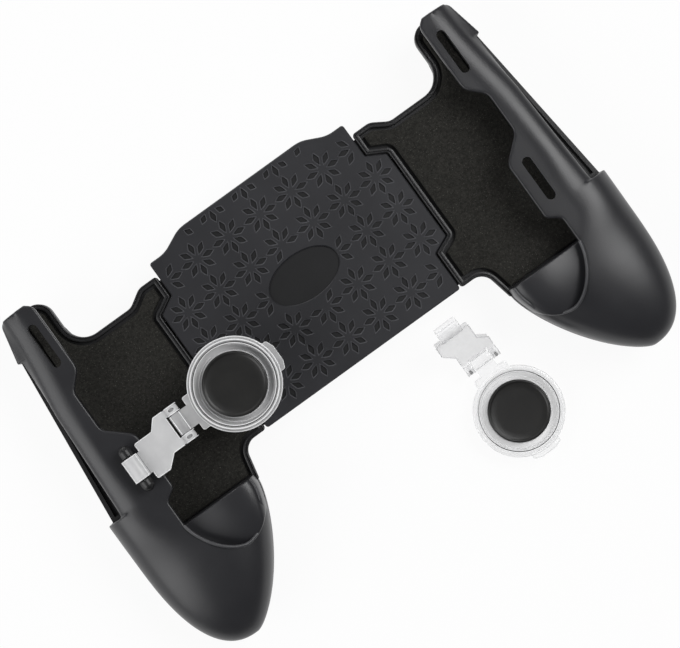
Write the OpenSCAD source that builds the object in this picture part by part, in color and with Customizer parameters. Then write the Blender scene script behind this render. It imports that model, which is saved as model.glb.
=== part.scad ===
// Extendable phone grip with two clip-on thumb joysticks, one clipped on and one taken off.
// Units are millimetres. +X runs to the right-hand grip, +Y to the top of the cradle and +Z out of the
// cradle towards the player. The origin lies on the flat back face that the part rests on.

/* [Centre section] */
// Width of the centre plate at its top and bottom ends
plate_w = 64.4; // [60:0.2:70]
// How far each side of the plate juts out in the middle
plate_step = 5.2; // [3:0.1:6.4]
// Height of the plate's shoulders above the origin
plate_top = 28.6; // [26:0.1:31]
// Depth of the plate's bottom edge below the origin
plate_bottom = 26; // [24:0.1:28]
// Rise of the crown in the middle of the plate's top edge
crown_rise = 3.2; // [1.5:0.1:5]
// Width of the crown's flat top
crown_w = 40.6; // [34:0.2:46]
// Height of the upper shoulder of the jutting middle
step_top = 16.7; // [14.5:0.1:18]
// Depth of the lower shoulder of the jutting middle
step_bottom = 13.3; // [12:0.1:16]
// Run of the shoulders' slopes along Y
step_slope = 2.8; // [1.6:0.1:4]
// Gap between the plate and the trays when closed
seam_gap = 0.55; // [0.4:0.05:1]
// Thickness of the soft skin
skin_t = 1.4; // [1:0.1:2]
// Thickness of the rigid front cover
cover_t = 1.4; // [1.2:0.1:2.4]
// Height of the back cover
housing_h = 9.4; // [9:0.1:11]
// Thickness of the back cover's floor
floor_t = 1.6; // [1.2:0.1:2.2]
// Thickness of the back cover's side walls
wall_t = 1.8; // [1.4:0.1:2.4]
// How far the back cover's skirt reaches out under the trays
skirt_out = 1.2; // [0.9:0.1:1.5]
// Thickness of the skirt
skirt_t = 1; // [0.8:0.1:1.2]
// Gap between the skirt and the rails above it
skirt_gap = 0.6; // [0.5:0.1:1]
// Width of the bare oval place on the skin
oval_w = 21.4; // [18:0.2:25]
// Height of the bare oval place on the skin
oval_h = 12.6; // [10:0.2:15]
// Depth of the bare oval place
oval_depth = 0.5; // [0.3:0.1:0.8]
// Distance between the cover screws across the plate
cover_screw_w = 48; // [44:0.5:54]
// Distance between the cover screws along the plate
cover_screw_h = 42; // [40:0.5:44]

/* [Slides and return springs] */
// How far each handle slides out
travel = 14; // [10:0.5:15]
// Width of a rail
rail_w = 5; // [4:0.1:6]
// Height of a rail
rail_h = 3.4; // [2.8:0.1:3.6]
// Distance between the two rails of a tray, centre to centre
rail_span = 19; // [18:0.1:20.5]
// How far the rails reach past the plate's widest edge into the housing
rail_reach = 33; // [30:0.5:35]
// Length of the rails' root under a tray
rail_root = 12; // [10:0.5:13]
// Clearance between sliding parts
slide_gap = 0.35; // [0.3:0.05:0.5]
// Width of the cross bar between the rails
cross_w = 3; // [2.4:0.1:4]
// Radius of the spring posts
post_r = 0.9; // [0.7:0.05:1.1]
// Distance between a spring's two posts when closed
spring_len = 14; // [13:0.5:15]
// Distance of the housing's spring posts from the centre line
post_x = 2; // [1.6:0.1:3]
// Mean radius of a spring's coil
spring_r = 1.5; // [1.2:0.05:1.7]
// Diameter of the spring wire
wire_d = 0.5; // [0.4:0.05:0.55]
// Number of turns of a spring
spring_turns = 9; // [7:1:10]

/* [Trays] */
// Height of a tray's underside
tray_z = 8.8; // [8.4:0.1:9.2]
// Thickness of a tray
tray_t = 3.2; // [2.8:0.1:3.6]
// Depth of the bed that the foam lies in
bed_depth = 1.6; // [1.2:0.1:2]
// Width of the rim round the bed
rim_w = 1.4; // [1:0.1:2]
// Width of the rim outside the groove beside the cable window
groove_rim = 0.9; // [0.7:0.1:1.4]
// Depth of the groove beside the cable window
groove_depth = 1.4; // [1:0.1:1.8]
// Thickness of the foam
foam_t = 2; // [1.6:0.1:2.6]
// Gap between the foam and the rim
foam_gap = 0.9; // [0.4:0.1:1.4]
// Height of a tray's inner shoulder
tray_top = 24.9; // [23:0.1:26]
// Height of a tray's top edge between the shoulder and the end post
tray_mid_top = 21.9; // [20:0.1:23]
// Where the shoulder comes down to the top edge, from the plate's side
tray_shoulder_out = 11; // [10:0.1:12.8]
// Inner side of a tray's end post, from the end wall
tray_post_in = 8.6; // [7.2:0.1:10.6]
// Radius of the hollow corner at the end post's foot
tray_post_r = 6.5; // [5:0.1:8]

/* [Handles] */
// Length between the end walls when closed
bay_w = 139.2; // [136:0.2:142]
// Height of the phone bay above the trays
bay_h = 9.7; // [9:0.1:11]
// Height of a handle's top end above the origin
handle_top = 38.2; // [37:0.1:40]
// Depth of the phone's lower stop below the origin
stop_y = 33.8; // [32.6:0.1:34.6]
// How far the frame's top end stands out past the end wall
frame_top_out = 5; // [4.4:0.1:6.4]
// How far the frame stands out past the end wall at the grip's shoulder
frame_low_out = 11; // [10:0.1:11.8]
// Depth of the grip's shoulder below the origin
shoulder_y = 22.5; // [21:0.1:24]
// Height of the lower end of the top end block
window_y = 26.5; // [25:0.1:28]
// Height of the cable window
window_h = 7; // [6:0.1:8]
// Thickness of the lip
lip_t = 2; // [1.6:0.1:2.4]
// Rise of the handle's top above the lip
ridge_rise = 0.2; // [0.2:0.1:0.6]
// How far the ridge stands out past the end wall at the window's top end
ridge_top_out = 5; // [4.2:0.1:5.6]
// How far the ridge stands out past the end wall at the window's lower end
ridge_low_out = 7.2; // [6.4:0.1:8.4]
// Run of the fillet from the lip up to the handle's top
ridge_fillet = 1.4; // [1:0.1:1.8]
// Run of the round from the handle's top down to the ridge's outer foot
ridge_roll = 5.6; // [5:0.1:6]
// Depth of the rear shell at its top end
rear_top_d = 3.6; // [3.2:0.1:4.4]

/* [Lip] */
// Reach of the upper lobe in from the end wall
lobe_top_in = 6.7; // [5.6:0.1:7.6]
// Reach of the hollow between the lobes
lobe_mid_in = 2.2; // [1.9:0.1:3]
// Reach of the lower lobe
lobe_low_in = 9; // [8.2:0.1:10]
// Reach of the lip's foot beside the cut-out
lip_foot_in = 5.4; // [4.6:0.1:6]
// Height of the upper lobe's lower end
lobe_top_y = 16.4; // [15.6:0.1:17.2]
// Height of the hollow's upper end
hollow_top_y = 11.8; // [11:0.1:12.6]
// Depth of the hollow's lower end
hollow_low_y = 0.6; // [0:0.1:1.4]
// Depth of the lower lobe's upper end
lobe_low_y = 6.6; // [6:0.1:7.2]
// Depth of the lower lobe's lower end
lobe_end_y = 23.9; // [23:0.1:24.6]
// Depth where the foot starts
foot_y = 26.2; // [25.4:0.1:27]
// Length of a slot
slot_l = 13.3; // [12:0.1:14]
// Width of a slot
slot_w = 2.65; // [2.4:0.05:2.9]
// Place of the upper slot, in from the end wall
slot_top_in = 3.1; // [2.2:0.1:3.6]
// Height of the upper slot's middle
slot_top_y = 26.2; // [25:0.1:28]
// Place of the lower slot, in from the end wall
slot_low_in = 4.3; // [3.6:0.1:5]
// Depth of the lower slot's middle
slot_low_y = 14.2; // [13.4:0.1:15]

/* [Hand grips] */
// Place of a grip's axis, in from the end wall
grip_axis_in = 3.6; // [2.6:0.1:4.6]
// Depth of a grip's widest place below the origin
grip_y = 36; // [35:0.1:37.5]
// Length of a grip from its widest place to its tip
grip_len = 33; // [30:0.5:36]
// Reach of a grip outwards from its axis
grip_out = 16.2; // [15.6:0.1:17]
// Distance between the plate's side and a grip's inner edge
grip_clear = 10.1; // [9.2:0.1:10.8]
// Fullness of a grip's outer curve
full_out = 2.5; // [2.2:0.05:3]
// Fullness of a grip's inner curve
full_in = 1.38; // [1.3:0.02:1.6]
// Fullness of a grip's front section
full_front = 2.4; // [2.1:0.05:2.6]
// Place of a grip's crest across its width, from its inner edge
grip_crest = 0.46; // [0.42:0.01:0.52]
// Fullness of a grip's rear section
full_rear = 2.3; // [2:0.05:2.8]
// Wall of the hollow shells
shell_t = 2.2; // [1.8:0.1:2.6]
// Middle of the U-shaped cut-out, in from the end wall
cut_axis_in = 16.4; // [15.6:0.1:17.2]
// How far the cut-out runs out past the grip's inner edge
cut_over = 0.4; // [0.2:0.1:0.8]
// Depth of the cut-out below the phone's lower stop
cut_depth = 13.8; // [12.6:0.1:15]
// Gap between the tongue and the cut-out's edge
tongue_gap = 0.3; // [0.2:0.05:0.5]
// Step down from the front shell to the tongue
tongue_drop = 0.5; // [0.4:0.1:1.5]
// Fall of the tongue's top towards the phone's lower stop
tongue_round = 2.5; // [1.6:0.1:3]

/* [Screws] */
// Radius of a screw's shank
screw_r = 1; // [0.8:0.05:1.2]
// Radius of a screw's head
screw_head_r = 1.9; // [1.7:0.1:2.1]
// Height of a screw's head
screw_head_h = 1.4; // [1:0.1:1.6]
// Clearance round a screw
screw_gap = 0.15; // [0.1:0.05:0.3]
// Length of a grip screw
grip_screw_l = 10.5; // [9:0.5:11]

/* [Clip bar] */
// Radius of the bar that the hook snaps round
bar_r = 1.35; // [1.2:0.05:1.5]
// Radius of the bar's two standing ends
bar_end_r = 1.6; // [1.5:0.05:1.8]
// Height of the bar's axis above the lip
bar_rise = 2.8; // [2.7:0.05:3.4]
// Clearance of the bar's plugs in the slot
bar_gap = 0.08; // [0.05:0.01:0.12]

/* [Joystick clip] */
// Clearance between the hook and the bar
hook_gap = 0.1; // [0.05:0.01:0.15]
// Wall of the hook
hook_t = 1; // [0.8:0.05:1.1]
// Width of the hook
hook_w = 6.5; // [6:0.1:6.6]
// Width of the arm beside the hook
arm_w = 10.8; // [10:0.1:11.6]
// Where the arm's wide part starts, from the hook's axis
arm_start = 3.1; // [2.9:0.1:3.6]
// Thickness of the arm
arm_t = 1.6; // [1.3:0.1:1.8]
// Depth of the arm's underside below the hook's axis
arm_drop = 2.1; // [1.9:0.05:2.2]
// Distance from the hook's axis to the hinge
hinge_x = 16.4; // [15.6:0.1:17.2]
// Sideways offset of the hinge from the hook
hinge_y = 2.9; // [2.4:0.1:3.2]
// Depth of the hinge's axis below the hook's axis
hinge_drop = 0.7; // [0.5:0.05:0.9]
// Width of an ear
ear_w = 2.1; // [1.9:0.1:2.4]
// Radius of an ear's round end
ear_r = 1.8; // [1.6:0.05:1.9]
// Rounding of an ear's end, seen from above
ear_round = 0.7; // [0.4:0.1:0.8]
// Rounding of the arm's corners
arm_round = 0.5; // [0.3:0.1:0.8]
// Gap between an ear and the barrel
ear_gap = 0.3; // [0.25:0.05:0.4]
// Gap between the arm's end and the barrel
arm_gap = 0.7; // [0.6:0.05:1]

/* [Joystick ring] */
// Radius of the hinge barrel
barrel_r = 1.9; // [1.7:0.05:2]
// Width of the hinge barrel
barrel_w = 5.8; // [5.4:0.1:6]
// Radius of the stub pins
stub_r = 0.9; // [0.7:0.05:1]
// Length of the stub pins
stub_l = 1.5; // [1.2:0.1:1.7]
// Clearance of the stub pins
stub_gap = 0.1; // [0.08:0.01:0.15]
// Distance from the hinge to the ring's centre
ring_x = 17.5; // [17:0.1:18.2]
// Outer radius of the ring
ring_r = 12.7; // [12.2:0.1:13.2]
// Inner radius of the ring
ring_in = 10.9; // [10.8:0.05:11.2]
// Height of the ring
ring_h = 5.2; // [4.6:0.1:5.6]
// Depth of the ring's underside below the hook's axis
ring_drop = 4.2; // [4:0.1:4.4]
// Width of the bracket between the barrel and the ring
bracket_w = 10.4; // [9.6:0.1:11.2]
// Width of the lift tab
tab_w = 8.8; // [8:0.1:9.6]
// How far the lift tab stands out past the ring
tab_out = 1.3; // [1:0.1:2]

/* [Joystick disc] */
// Radius of the clear carrier disc
disc_r = 9; // [8.8:0.05:9.1]
// Thickness of the carrier disc
disc_t = 1.5; // [1.2:0.1:1.8]
// Radius of the black thumb pad
pad_r = 8.7; // [8.4:0.05:8.8]
// Thickness of the thumb pad
pad_t = 1.4; // [1:0.1:1.8]
// Dish of the thumb pad
pad_dish = 0.4; // [0.2:0.05:0.7]
// Radius of the boss under the carrier
boss_r = 5; // [4.6:0.1:5.6]
// Radius of the contact pad
contact_r = 4.3; // [3.8:0.1:4.5]
// How far the contact pad stands out under the ring
contact_out = 0.7; // [0.4:0.1:1]
// Width of the flexure's band
band_w = 0.7; // [0.55:0.05:0.8]
// Height of the flexure's band
band_h = 1.3; // [1:0.1:1.4]
// Gap at the ends of the flexure
band_gap = 0.15; // [0.1:0.01:0.18]
// Clearance between the band's turns and its neighbours
band_clear = 0.25; // [0.2:0.01:0.3]

/* [Joystick taken off] */
// Place of the loose ring's centre along X
loose_x = 26.1; // [24:0.1:27]
// Depth of the loose ring's centre below the origin
loose_y = 62.8; // [62.6:0.1:66]
// Turn of the loose joystick about Z
loose_turn = -89; // [-93:0.5:-87]
// Angle that the loose joystick's clip is folded up by
loose_fold = 38; // [20:1:55]

/* [Hidden] */
$fn = 48;
e = 0.5;
half_w = plate_w / 2;
half_mid = half_w + plate_step;
cover_z = housing_h;
skin_z = cover_z + cover_t;
bed_z = tray_z + tray_t;
wall_x = bay_w / 2;
frame_top_x = wall_x + frame_top_out;
frame_low_x = wall_x + frame_low_out;
ridge_top_x = wall_x + ridge_top_out;
ridge_low_x = wall_x + ridge_low_out;
lobe_top_x = wall_x - lobe_top_in;
lobe_mid_x = wall_x - lobe_mid_in;
lobe_low_x = wall_x - lobe_low_in;
lip_foot_x = wall_x - lip_foot_in;
slot_top_x = wall_x - slot_top_in;
slot_low_x = wall_x - slot_low_in;
tray_post_x = wall_x - tray_post_in;
tray_shoulder_x = half_w + tray_shoulder_out;
grip_x = wall_x - grip_axis_in;
grip_in = grip_x - half_w - grip_clear;
cut_x = wall_x - cut_axis_in;
cut_in = cut_x - half_w - grip_clear + cut_over;
inside_x = half_w - 2.2;
lip_z = bed_z + bay_h;
lip_top = lip_z + lip_t;
ridge_top = lip_top + ridge_rise;
window_top = bed_z + window_h;
rail_mid = (step_top - step_bottom) / 2;
rail_z = tray_z - rail_h;
skirt_top = rail_z - skirt_gap;
rail_y = [rail_mid + rail_span / 2, rail_mid - rail_span / 2];
rail_end = half_mid - rail_reach;
cross_x = post_x + spring_len;
spring_z = floor_t + spring_r + wire_d / 2 + 0.55;
stop_x = cross_x + cross_w / 2 + travel + 0.3;
grip_stations = 12;
tip_angle = 86;
grip_screws = [
  [wall_x + 2.7, handle_top - 5.8],
  [wall_x + 6, 7 - grip_y],
  [grip_x, 14 - grip_y - grip_len]
];
screw_seat = tray_z - 1.8;
slot_end = (slot_l - slot_w) / 2;
bar_z = lip_top + bar_rise;
hook_r = bar_r + hook_gap;
hook_out = hook_r + hook_t;
ears_w = barrel_w + 2 * ear_gap + 2 * ear_w;
arm_end = hinge_x - barrel_r - arm_gap;
centre_x = hinge_x + ring_x;
ring_z = -ring_drop;
pad_z = ring_z + ring_h - 0.5 - pad_t;
disc_z = pad_z - disc_t;
contact_z = ring_z - contact_out;
contact_t = 0.8;
band_in = disc_r + band_clear + band_w / 2;
band_out = ring_in - band_clear - band_w / 2;
shell_c = "#2b2c30";
frame_c = "#232427";
foam_c = "#161514";
skin_c = "#33363d";
clear_c = "#d5dce0";
rubber_c = "#111112";
steel_c = "#9a9ea3";

// Outlines with rounded corners. A corner is [x, y, radius], and an outline runs anticlockwise.
function unit(v) = v / norm(v);
function xy(p) = [p.x, p.y];
function side(a, b) = [a.y - b.y, b.x - a.x] / norm(xy(b) - xy(a));
function arc_at(p0, p1, p2, r) =
  let (a = unit(p0 - p1), b = unit(p2 - p1), half = acos(a * b) / 2)
  let (c = p1 + unit(a + b) * r / sin(half))
  let (s = p1 + a * r / tan(half) - c, f = p1 + b * r / tan(half) - c)
  let (from = atan2(s.y, s.x), turn = (atan2(f.y, f.x) - from + 540) % 360 - 180)
  let (n = max(2, ceil(abs(turn) / 18)))
  [for (i = [0:n]) c + r * [cos(from + turn * i / n), sin(from + turn * i / n)]];
function at(list, i) = list[(i + len(list)) % len(list)];
function rounded(c) =
  [for (i = [0:len(c) - 1]) each arc_at(xy(at(c, i - 1)), xy(c[i]), xy(at(c, i + 1)), c[i][2])];
function open_run(c) =
  [for (i = [1:len(c) - 2]) each arc_at(xy(c[i - 1]), xy(c[i]), xy(c[i + 1]), c[i][2])];
function inset(c, d) = [
  for (i = [0:len(c) - 1])
    let (u = side(at(c, i - 1), c[i]), v = side(c[i], at(c, i + 1)))
    let (p = xy(c[i]) + (u + v) * d / (1 + u * v), convex = u.x * v.y - u.y * v.x > 0)
    [p.x, p.y, max(convex ? c[i][2] - d : c[i][2] + d, 0.15)]
];
function mirrored(c) = [for (i = [len(c) - 1:-1:0]) [-c[i].x, c[i].y, c[i][2]]];

// The seam between the plate and a tray, from the bottom upwards, moved outwards by d.
function seam(d) = [
  [half_w + d, -step_bottom - step_slope * 0.4, 0.8],
  [half_mid + d, -step_bottom + step_slope * 0.4, 0.8],
  [half_mid + d, step_top - step_slope / 2, 0.8],
  [half_w + d, step_top + step_slope / 2, 0.8]
];
function plate_side() = concat(
  [[half_w, -plate_bottom, 0.8]],
  seam(0),
  [
    [half_w, plate_top, 0.8],
    [crown_w / 2 + 6.7, plate_top, 9],
    [crown_w / 2, plate_top + crown_rise, 9]
  ]
);
function plate_corners() = concat(plate_side(), mirrored(plate_side()));

// The handle's outer edge, seen from the front.
function super(t, n) = pow(max(1 - pow(min(max(t, 0), 1), n), 0), 1 / n);
function ease(t) = let (c = min(max(t, 0), 1)) c * c * (3 - 2 * c);
function mix(a, b, t) = a + (b - a) * t;
function grip_t(y) = (-grip_y - y) / grip_len;
function grip_outer(y) = grip_x + grip_out * super(grip_t(y), full_out);
function grip_inner(y) = grip_x - grip_in * super(grip_t(y), full_in);
function end_curve(y, r) =
  let (s = (y - handle_top + r) / r)
  s > 0 ? r * (1 - sqrt(max(1 - s * s, 0))) : 0;
function frame_outer(y) =
  mix(frame_top_x, frame_low_x, (handle_top - y) / (handle_top + shoulder_y)) - end_curve(y, 2.5);
function edge_outer(y) = y > -shoulder_y ? frame_outer(y) : grip_outer(y);
grip_ys = [for (k = [0:grip_stations]) -grip_y - grip_len * sin(tip_angle * k / grip_stations)];
tip_y = grip_ys[grip_stations];

// A body through rings of the same number of points, each ring in a plane of equal Y, in falling order.
module loft(rings) {
  n = len(rings[0]);
  m = len(rings);
  polyhedron(
    points = [for (r = rings) each r],
    faces = concat(
      [[for (i = [n - 1:-1:0]) i]],
      [[for (i = [0:n - 1]) (m - 1) * n + i]],
      [for (j = [0:m - 2], i = [0:n - 1]) [j * n + i, j * n + (i + 1) % n, (j + 1) * n + i]],
      [for (j = [0:m - 2], i = [0:n - 1]) [j * n + (i + 1) % n, (j + 1) * n + (i + 1) % n, (j + 1) * n + i]]
    ),
    convexity = 8
  );
}

// A D-shaped ring from the inner foot over the crest to the outer foot. A negative rise turns it downwards.
function d_ring(y, inner, crest, outer, z, rise, n, steps) = [
  for (i = [0:steps])
    let (a = 180 - 180 * i / steps, c = cos(a), s = sin(a))
    let (reach = c < 0 ? crest - inner : outer - crest)
    [crest + sign(c) * reach * pow(abs(c), 2 / n), y, z + rise * pow(abs(s), 2 / n)]
];
function flip(ring) = [for (i = [len(ring) - 1:-1:0]) ring[i]];

// Rear shell
function up_handle(y) = (y + grip_y) / (handle_top + grip_y);
function rear_inner(y) =
  y > -grip_y
    ? mix(grip_inner(-grip_y), tray_post_x + 1.6, pow(up_handle(y), 0.6)) + end_curve(y, 4.5)
    : grip_inner(y);
function rear_depth(y) =
  y > -grip_y
    ? mix(rear_top_d, tray_z, ease(1 - up_handle(y)))
    : tray_z * super(grip_t(y), 2.2);
function rear_ring(y, w) =
  let (inner = rear_inner(y) + w, outer = edge_outer(y) - w, crest = mix(inner, outer, 0.55))
  flip(d_ring(y, inner, crest, outer, tray_z + w * 0.4, w * 0.6 - rear_depth(y), full_rear, 16));
end_ys = [for (s = [0, 0.2, 0.6, 1.3, 2.4, 4.5]) handle_top - s];
rear_ys = concat(
  end_ys,
  [27, 20, 12, 4, -4, -12, -18, -shoulder_y + 0.1, -shoulder_y - 0.1, -28, -32]
);

// Front shell
function ridge_line(y) = mix(ridge_top_x, ridge_low_x, (window_y - y) / (window_y + shoulder_y));
function ridge_outer(y) = y > window_y ? frame_outer(y) - 0.3 : ridge_line(y);
function ridge_crest(y) = ridge_line(y) - ridge_roll;
// The ridge's section: a low fillet up from the lip, the crest, and a quarter round to the outer foot.
function ridge_ring(y) =
  let (crest = ridge_crest(y), foot = crest - ridge_fillet, outer = ridge_outer(y))
  let (z = lip_top - 0.05, top = ridge_top - 0.12 * end_curve(y, 4.5))
  concat(
    [[wall_x, y, window_top], [foot, y, lip_z - 0.4]],
    [for (i = [0:3]) [mix(foot, crest, i / 3), y, mix(z, top, ease(i / 3))]],
    [
      for (i = [1:8])
        [mix(crest, outer, sin(90 * i / 8)), y, mix(window_top, top, cos(90 * i / 8))]
    ]
  );
ridge_ys = concat(
  end_ys,
  [window_y + 0.1, window_y - 0.1, 16, 4, -8, -17, -26]
);
function front_inner(y) =
  mix(wall_x, grip_inner(min(y, -grip_y)), pow(min(max((-shoulder_y - y) / 17.5, 0), 1), 2.2));
function front_crest(y) =
  mix(ridge_crest(-shoulder_y), mix(grip_inner(y), grip_outer(y), grip_crest), ease((-26 - y) / 17));
function front_rise(y) = (ridge_top - bed_z) * super((-30 - y) / (grip_len + grip_y - 30), full_front);
function front_ring(y) =
  d_ring(y, front_inner(y), front_crest(y), grip_outer(y), bed_z, front_rise(y), full_front, 18);
// The tongue's top falls off towards the phone's lower stop.
function tongue_fall(y) = tongue_round * pow(max((y + stop_y) / (2 * tongue_round) + 1, 0), 2);
function tongue_ring(y) =
  let (inner = grip_inner(y) + 0.15, rise = front_rise(y) + 1 - tongue_drop - tongue_fall(y))
  d_ring(y, inner, front_crest(y), grip_outer(y), bed_z - 1, rise, full_front, 18);
function hollow_ring(y) =
  let (inner = grip_inner(y) + shell_t, outer = grip_outer(y) - shell_t, rise = front_rise(y) + e - shell_t)
  d_ring(y, inner, front_crest(y), outer, bed_z - e, rise, full_front, 14);
front_ys = concat([-shoulder_y, -26, -29, -32, -34], [for (y = grip_ys) y]);
rear_hollow_ys = [24, 12, 0, -10, -18, -shoulder_y - 0.1, -30];
hollow_ys = [for (y = grip_ys) if (y > -grip_y - grip_len + 4) y - 0.6];

// The cut-out's curve, from its outer end round to its inner side, drawn in by g.
function cut_curve(g) = [
  for (a = [0:7.5:157.5])
    let (c = cos(a), s = sin(a), n = c > 0 ? 1.6 : 1.9)
    let (reach = c > 0 ? lip_foot_x - cut_x - g : cut_in - g)
    [cut_x + sign(c) * reach * pow(abs(c), 2 / n), -stop_y - (cut_depth - g) * pow(abs(s), 2 / n)]
];

// Trays
function bed_corners() = concat(
  [
    [wall_x + rim_w, handle_top, 1],
    [tray_post_x, handle_top, 4.5],
    [tray_post_x, tray_mid_top, tray_post_r],
    [tray_shoulder_x, tray_mid_top, 4],
    [tray_shoulder_x - 4.8, tray_top, 4],
    [half_w + seam_gap, tray_top, 0.8]
  ],
  [for (c = flip(seam(seam_gap))) c],
  [
    [half_w + seam_gap, -plate_bottom, 0.8],
    [grip_inner(-grip_y) - 2.5, -plate_bottom, 4.2],
    [grip_inner(-grip_y) - 0.4, -stop_y - rim_w - 0.5, 0.4],
    [wall_x + rim_w, -stop_y - rim_w - 0.5, 1]
  ]
);
function tray_outline() = concat(
  open_run(concat(
    [[frame_outer(20), 20, 0], [frame_top_x + 0.04, handle_top, 2.5]],
    [for (i = [1:len(bed_corners()) - 3]) bed_corners()[i]],
    [[grip_inner(-grip_y), -grip_y, 0]]
  )),
  [for (y = grip_ys) [grip_inner(y), y]],
  [for (i = [grip_stations:-1:0]) [grip_outer(grip_ys[i]), grip_ys[i]]],
  [[grip_outer(-shoulder_y), -shoulder_y - 0.1], [frame_low_x, -shoulder_y + 0.1]]
);

module slab(points, z0, z1) {
  translate([0, 0, z0]) linear_extrude(z1 - z0) polygon(points);
}

module box(x0, x1, y0, y1, z0, z1) {
  translate([x0, y0, z0]) cube([x1 - x0, y1 - y0, z1 - z0]);
}

module hole(p, r, z0, z1) {
  translate([p.x, p.y, z0]) cylinder(r = r, h = z1 - z0);
}

module screw(p, seat, length) {
  hole(p, screw_head_r, seat - screw_head_h, seat);
  hole(p, screw_r, seat - e / 2, seat + length);
}

cover_screws = [for (x = [-1, 1], y = [-1, 1]) [x * cover_screw_w / 2, 1 + y * cover_screw_h / 2]];
cover_seat = 2;

module centre_skin() color(skin_c) difference() {
  slab(rounded(plate_corners()), skin_z, skin_z + skin_t);
  slab(
    [for (a = [0:7.5:352.5]) [oval_w / 2 * cos(a), 1.5 + oval_h / 2 * sin(a)]],
    skin_z + skin_t - oval_depth,
    skin_z + skin_t + e
  );
}

module centre_front_cover() color(frame_c) difference() {
  slab(rounded(inset(plate_corners(), 0.2)), cover_z, skin_z);
  for (p = cover_screws) hole(p, screw_r + 0.05, cover_z - e, skin_z - 0.4);
}

module rail_slots(y) {
  x = half_mid - wall_t - e;
  for (s = [-1, 1])
    box(
      s > 0 ? x : -half_mid - e, s > 0 ? half_mid + e : -x,
      y - rail_w / 2 - slide_gap, y + rail_w / 2 + slide_gap,
      rail_z - slide_gap, housing_h + e
    );
}

module skirt() {
  out = half_mid + skirt_out + e;
  intersection() {
    slab(rounded(inset(plate_corners(), -skirt_out)), skirt_top - skirt_t, skirt_top);
    box(-out, out, 1 - plate_bottom, tray_top - 1, 0, housing_h);
  }
}

module centre_back_cover() color(frame_c) difference() {
  union() {
    difference() {
      union() {
        slab(rounded(inset(plate_corners(), 1)), 0, 1);
        slab(rounded(inset(plate_corners(), 0.2)), 0.8, housing_h);
        skirt();
      }
      slab(rounded(inset(plate_corners(), wall_t)), floor_t, housing_h + e);
    }
    for (p = cover_screws) hole(p, 3.1, floor_t - 0.2, housing_h);
    for (y = rail_y)
      box(
        -half_mid + wall_t / 2, half_mid - wall_t / 2,
        y - 1.5, y + 1.5,
        floor_t - 0.2, rail_z - slide_gap
      );
    for (s = [-1, 1])
      box(
        -half_w + 3, half_w - 3,
        rail_mid + s * (rail_span / 2 + rail_w / 2 + slide_gap + 0.6) - 0.6,
        rail_mid + s * (rail_span / 2 + rail_w / 2 + slide_gap + 0.6) + 0.6,
        floor_t - 0.2, tray_z
      );
    for (s = [-1, 1]) hole([s * post_x, rail_mid], post_r, floor_t - 0.2, spring_z + 1.6);
    for (s = [-1, 1], y = [-4, 4])
      box(
        s > 0 ? stop_x : -half_mid + wall_t / 2, s > 0 ? half_mid - wall_t / 2 : -stop_x,
        rail_mid + y - 1.2, rail_mid + y + 1.2,
        floor_t - 0.2, tray_z
      );
  }
  for (y = rail_y) rail_slots(y);
  for (p = cover_screws) {
    hole(p, screw_head_r + screw_gap, -e, cover_seat);
    hole(p, screw_r + screw_gap, cover_seat - e, housing_h + e);
  }
}

module centre_screws() color(steel_c)
  for (p = cover_screws) screw(p, cover_seat, skin_z - 0.6 - cover_seat);

// A return spring: an open loop round each post and the coil between them.
spring_pitch = (spring_len - 4.8) / spring_turns;
loop_r = post_r + wire_d / 2 + 0.15;
function spring_path() = concat(
  [for (a = [-30:-30:-330]) [post_x + loop_r * cos(a), loop_r * sin(a), 0]],
  [[post_x + 1.9, 1.1, 0]],
  [
    for (i = [0:spring_turns * 8])
      [post_x + 2.4 + spring_pitch * i / 8, spring_r * cos(45 * i), spring_r * sin(45 * i)]
  ],
  [[cross_x - 1.9, 1.1, 0]],
  [for (a = [150:-30:-150]) [cross_x + loop_r * cos(a), loop_r * sin(a), 0]]
);
function run_of(p) =
  [for (i = [0:len(p) - 1]) unit(p[min(i + 1, len(p) - 1)] - p[max(i - 1, 0)])];
function across(n, t) = unit(n - (n * t) * t);
function frames(t) =
  [for (i = 0, n = across([0, 0, 1], t[0]); i < len(t); i = i + 1, n = i < len(t) ? across(n, t[i]) : n) n];
function tube_points(p, r) =
  let (t = run_of(p), n = frames(t))
  [for (i = [0:len(p) - 1], k = [0:5]) p[i] + r * (cos(60 * k) * n[i] + sin(60 * k) * cross(t[i], n[i]))];
function least_gap(p, d) =
  min([for (i = [0:len(p) - 8], j = [i + 7:len(p) - 1]) norm(p[i] - p[j])]) - d;

module spring() {
  p = spring_path();
  m = len(p);
  echo(str("Least gap of a return spring to itself, mm: ", least_gap(p, wire_d)));
  translate([0, rail_mid, spring_z])
    polyhedron(
      points = tube_points(p, wire_d / 2),
      faces = concat(
        [[for (k = [0:5]) k]],
        [[for (k = [5:-1:0]) (m - 1) * 6 + k]],
        [for (j = [0:m - 2], k = [0:5]) [j * 6 + k, (j + 1) * 6 + k, j * 6 + (k + 1) % 6]],
        [for (j = [0:m - 2], k = [0:5]) [j * 6 + (k + 1) % 6, (j + 1) * 6 + k, (j + 1) * 6 + (k + 1) % 6]]
      ),
      convexity = 10
    );
}

module left_spring() color(steel_c) mirror([1, 0, 0]) spring();
module right_spring() color(steel_c) spring();

module tongue() {
  intersection() {
    loft([for (y = [0.6, -1, -2.4, -3.8, -5.2, -8.2, -11.2, -cut_depth - 1]) tongue_ring(y - stop_y)]);
    slab(
      concat(cut_curve(tongue_gap), [[inside_x, -stop_y - cut_depth / 2], [inside_x, -stop_y]]),
      bed_z - 2,
      ridge_top + e
    );
  }
}

module window_groove() {
  top = window_y - 1;
  low = 1 - shoulder_y;
  slab(
    [
      [wall_x + rim_w, top], [wall_x + rim_w, low],
      [frame_outer(low) - groove_rim, low], [frame_outer(top) - groove_rim, top]
    ],
    bed_z - groove_depth,
    bed_z + e
  );
}

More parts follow.
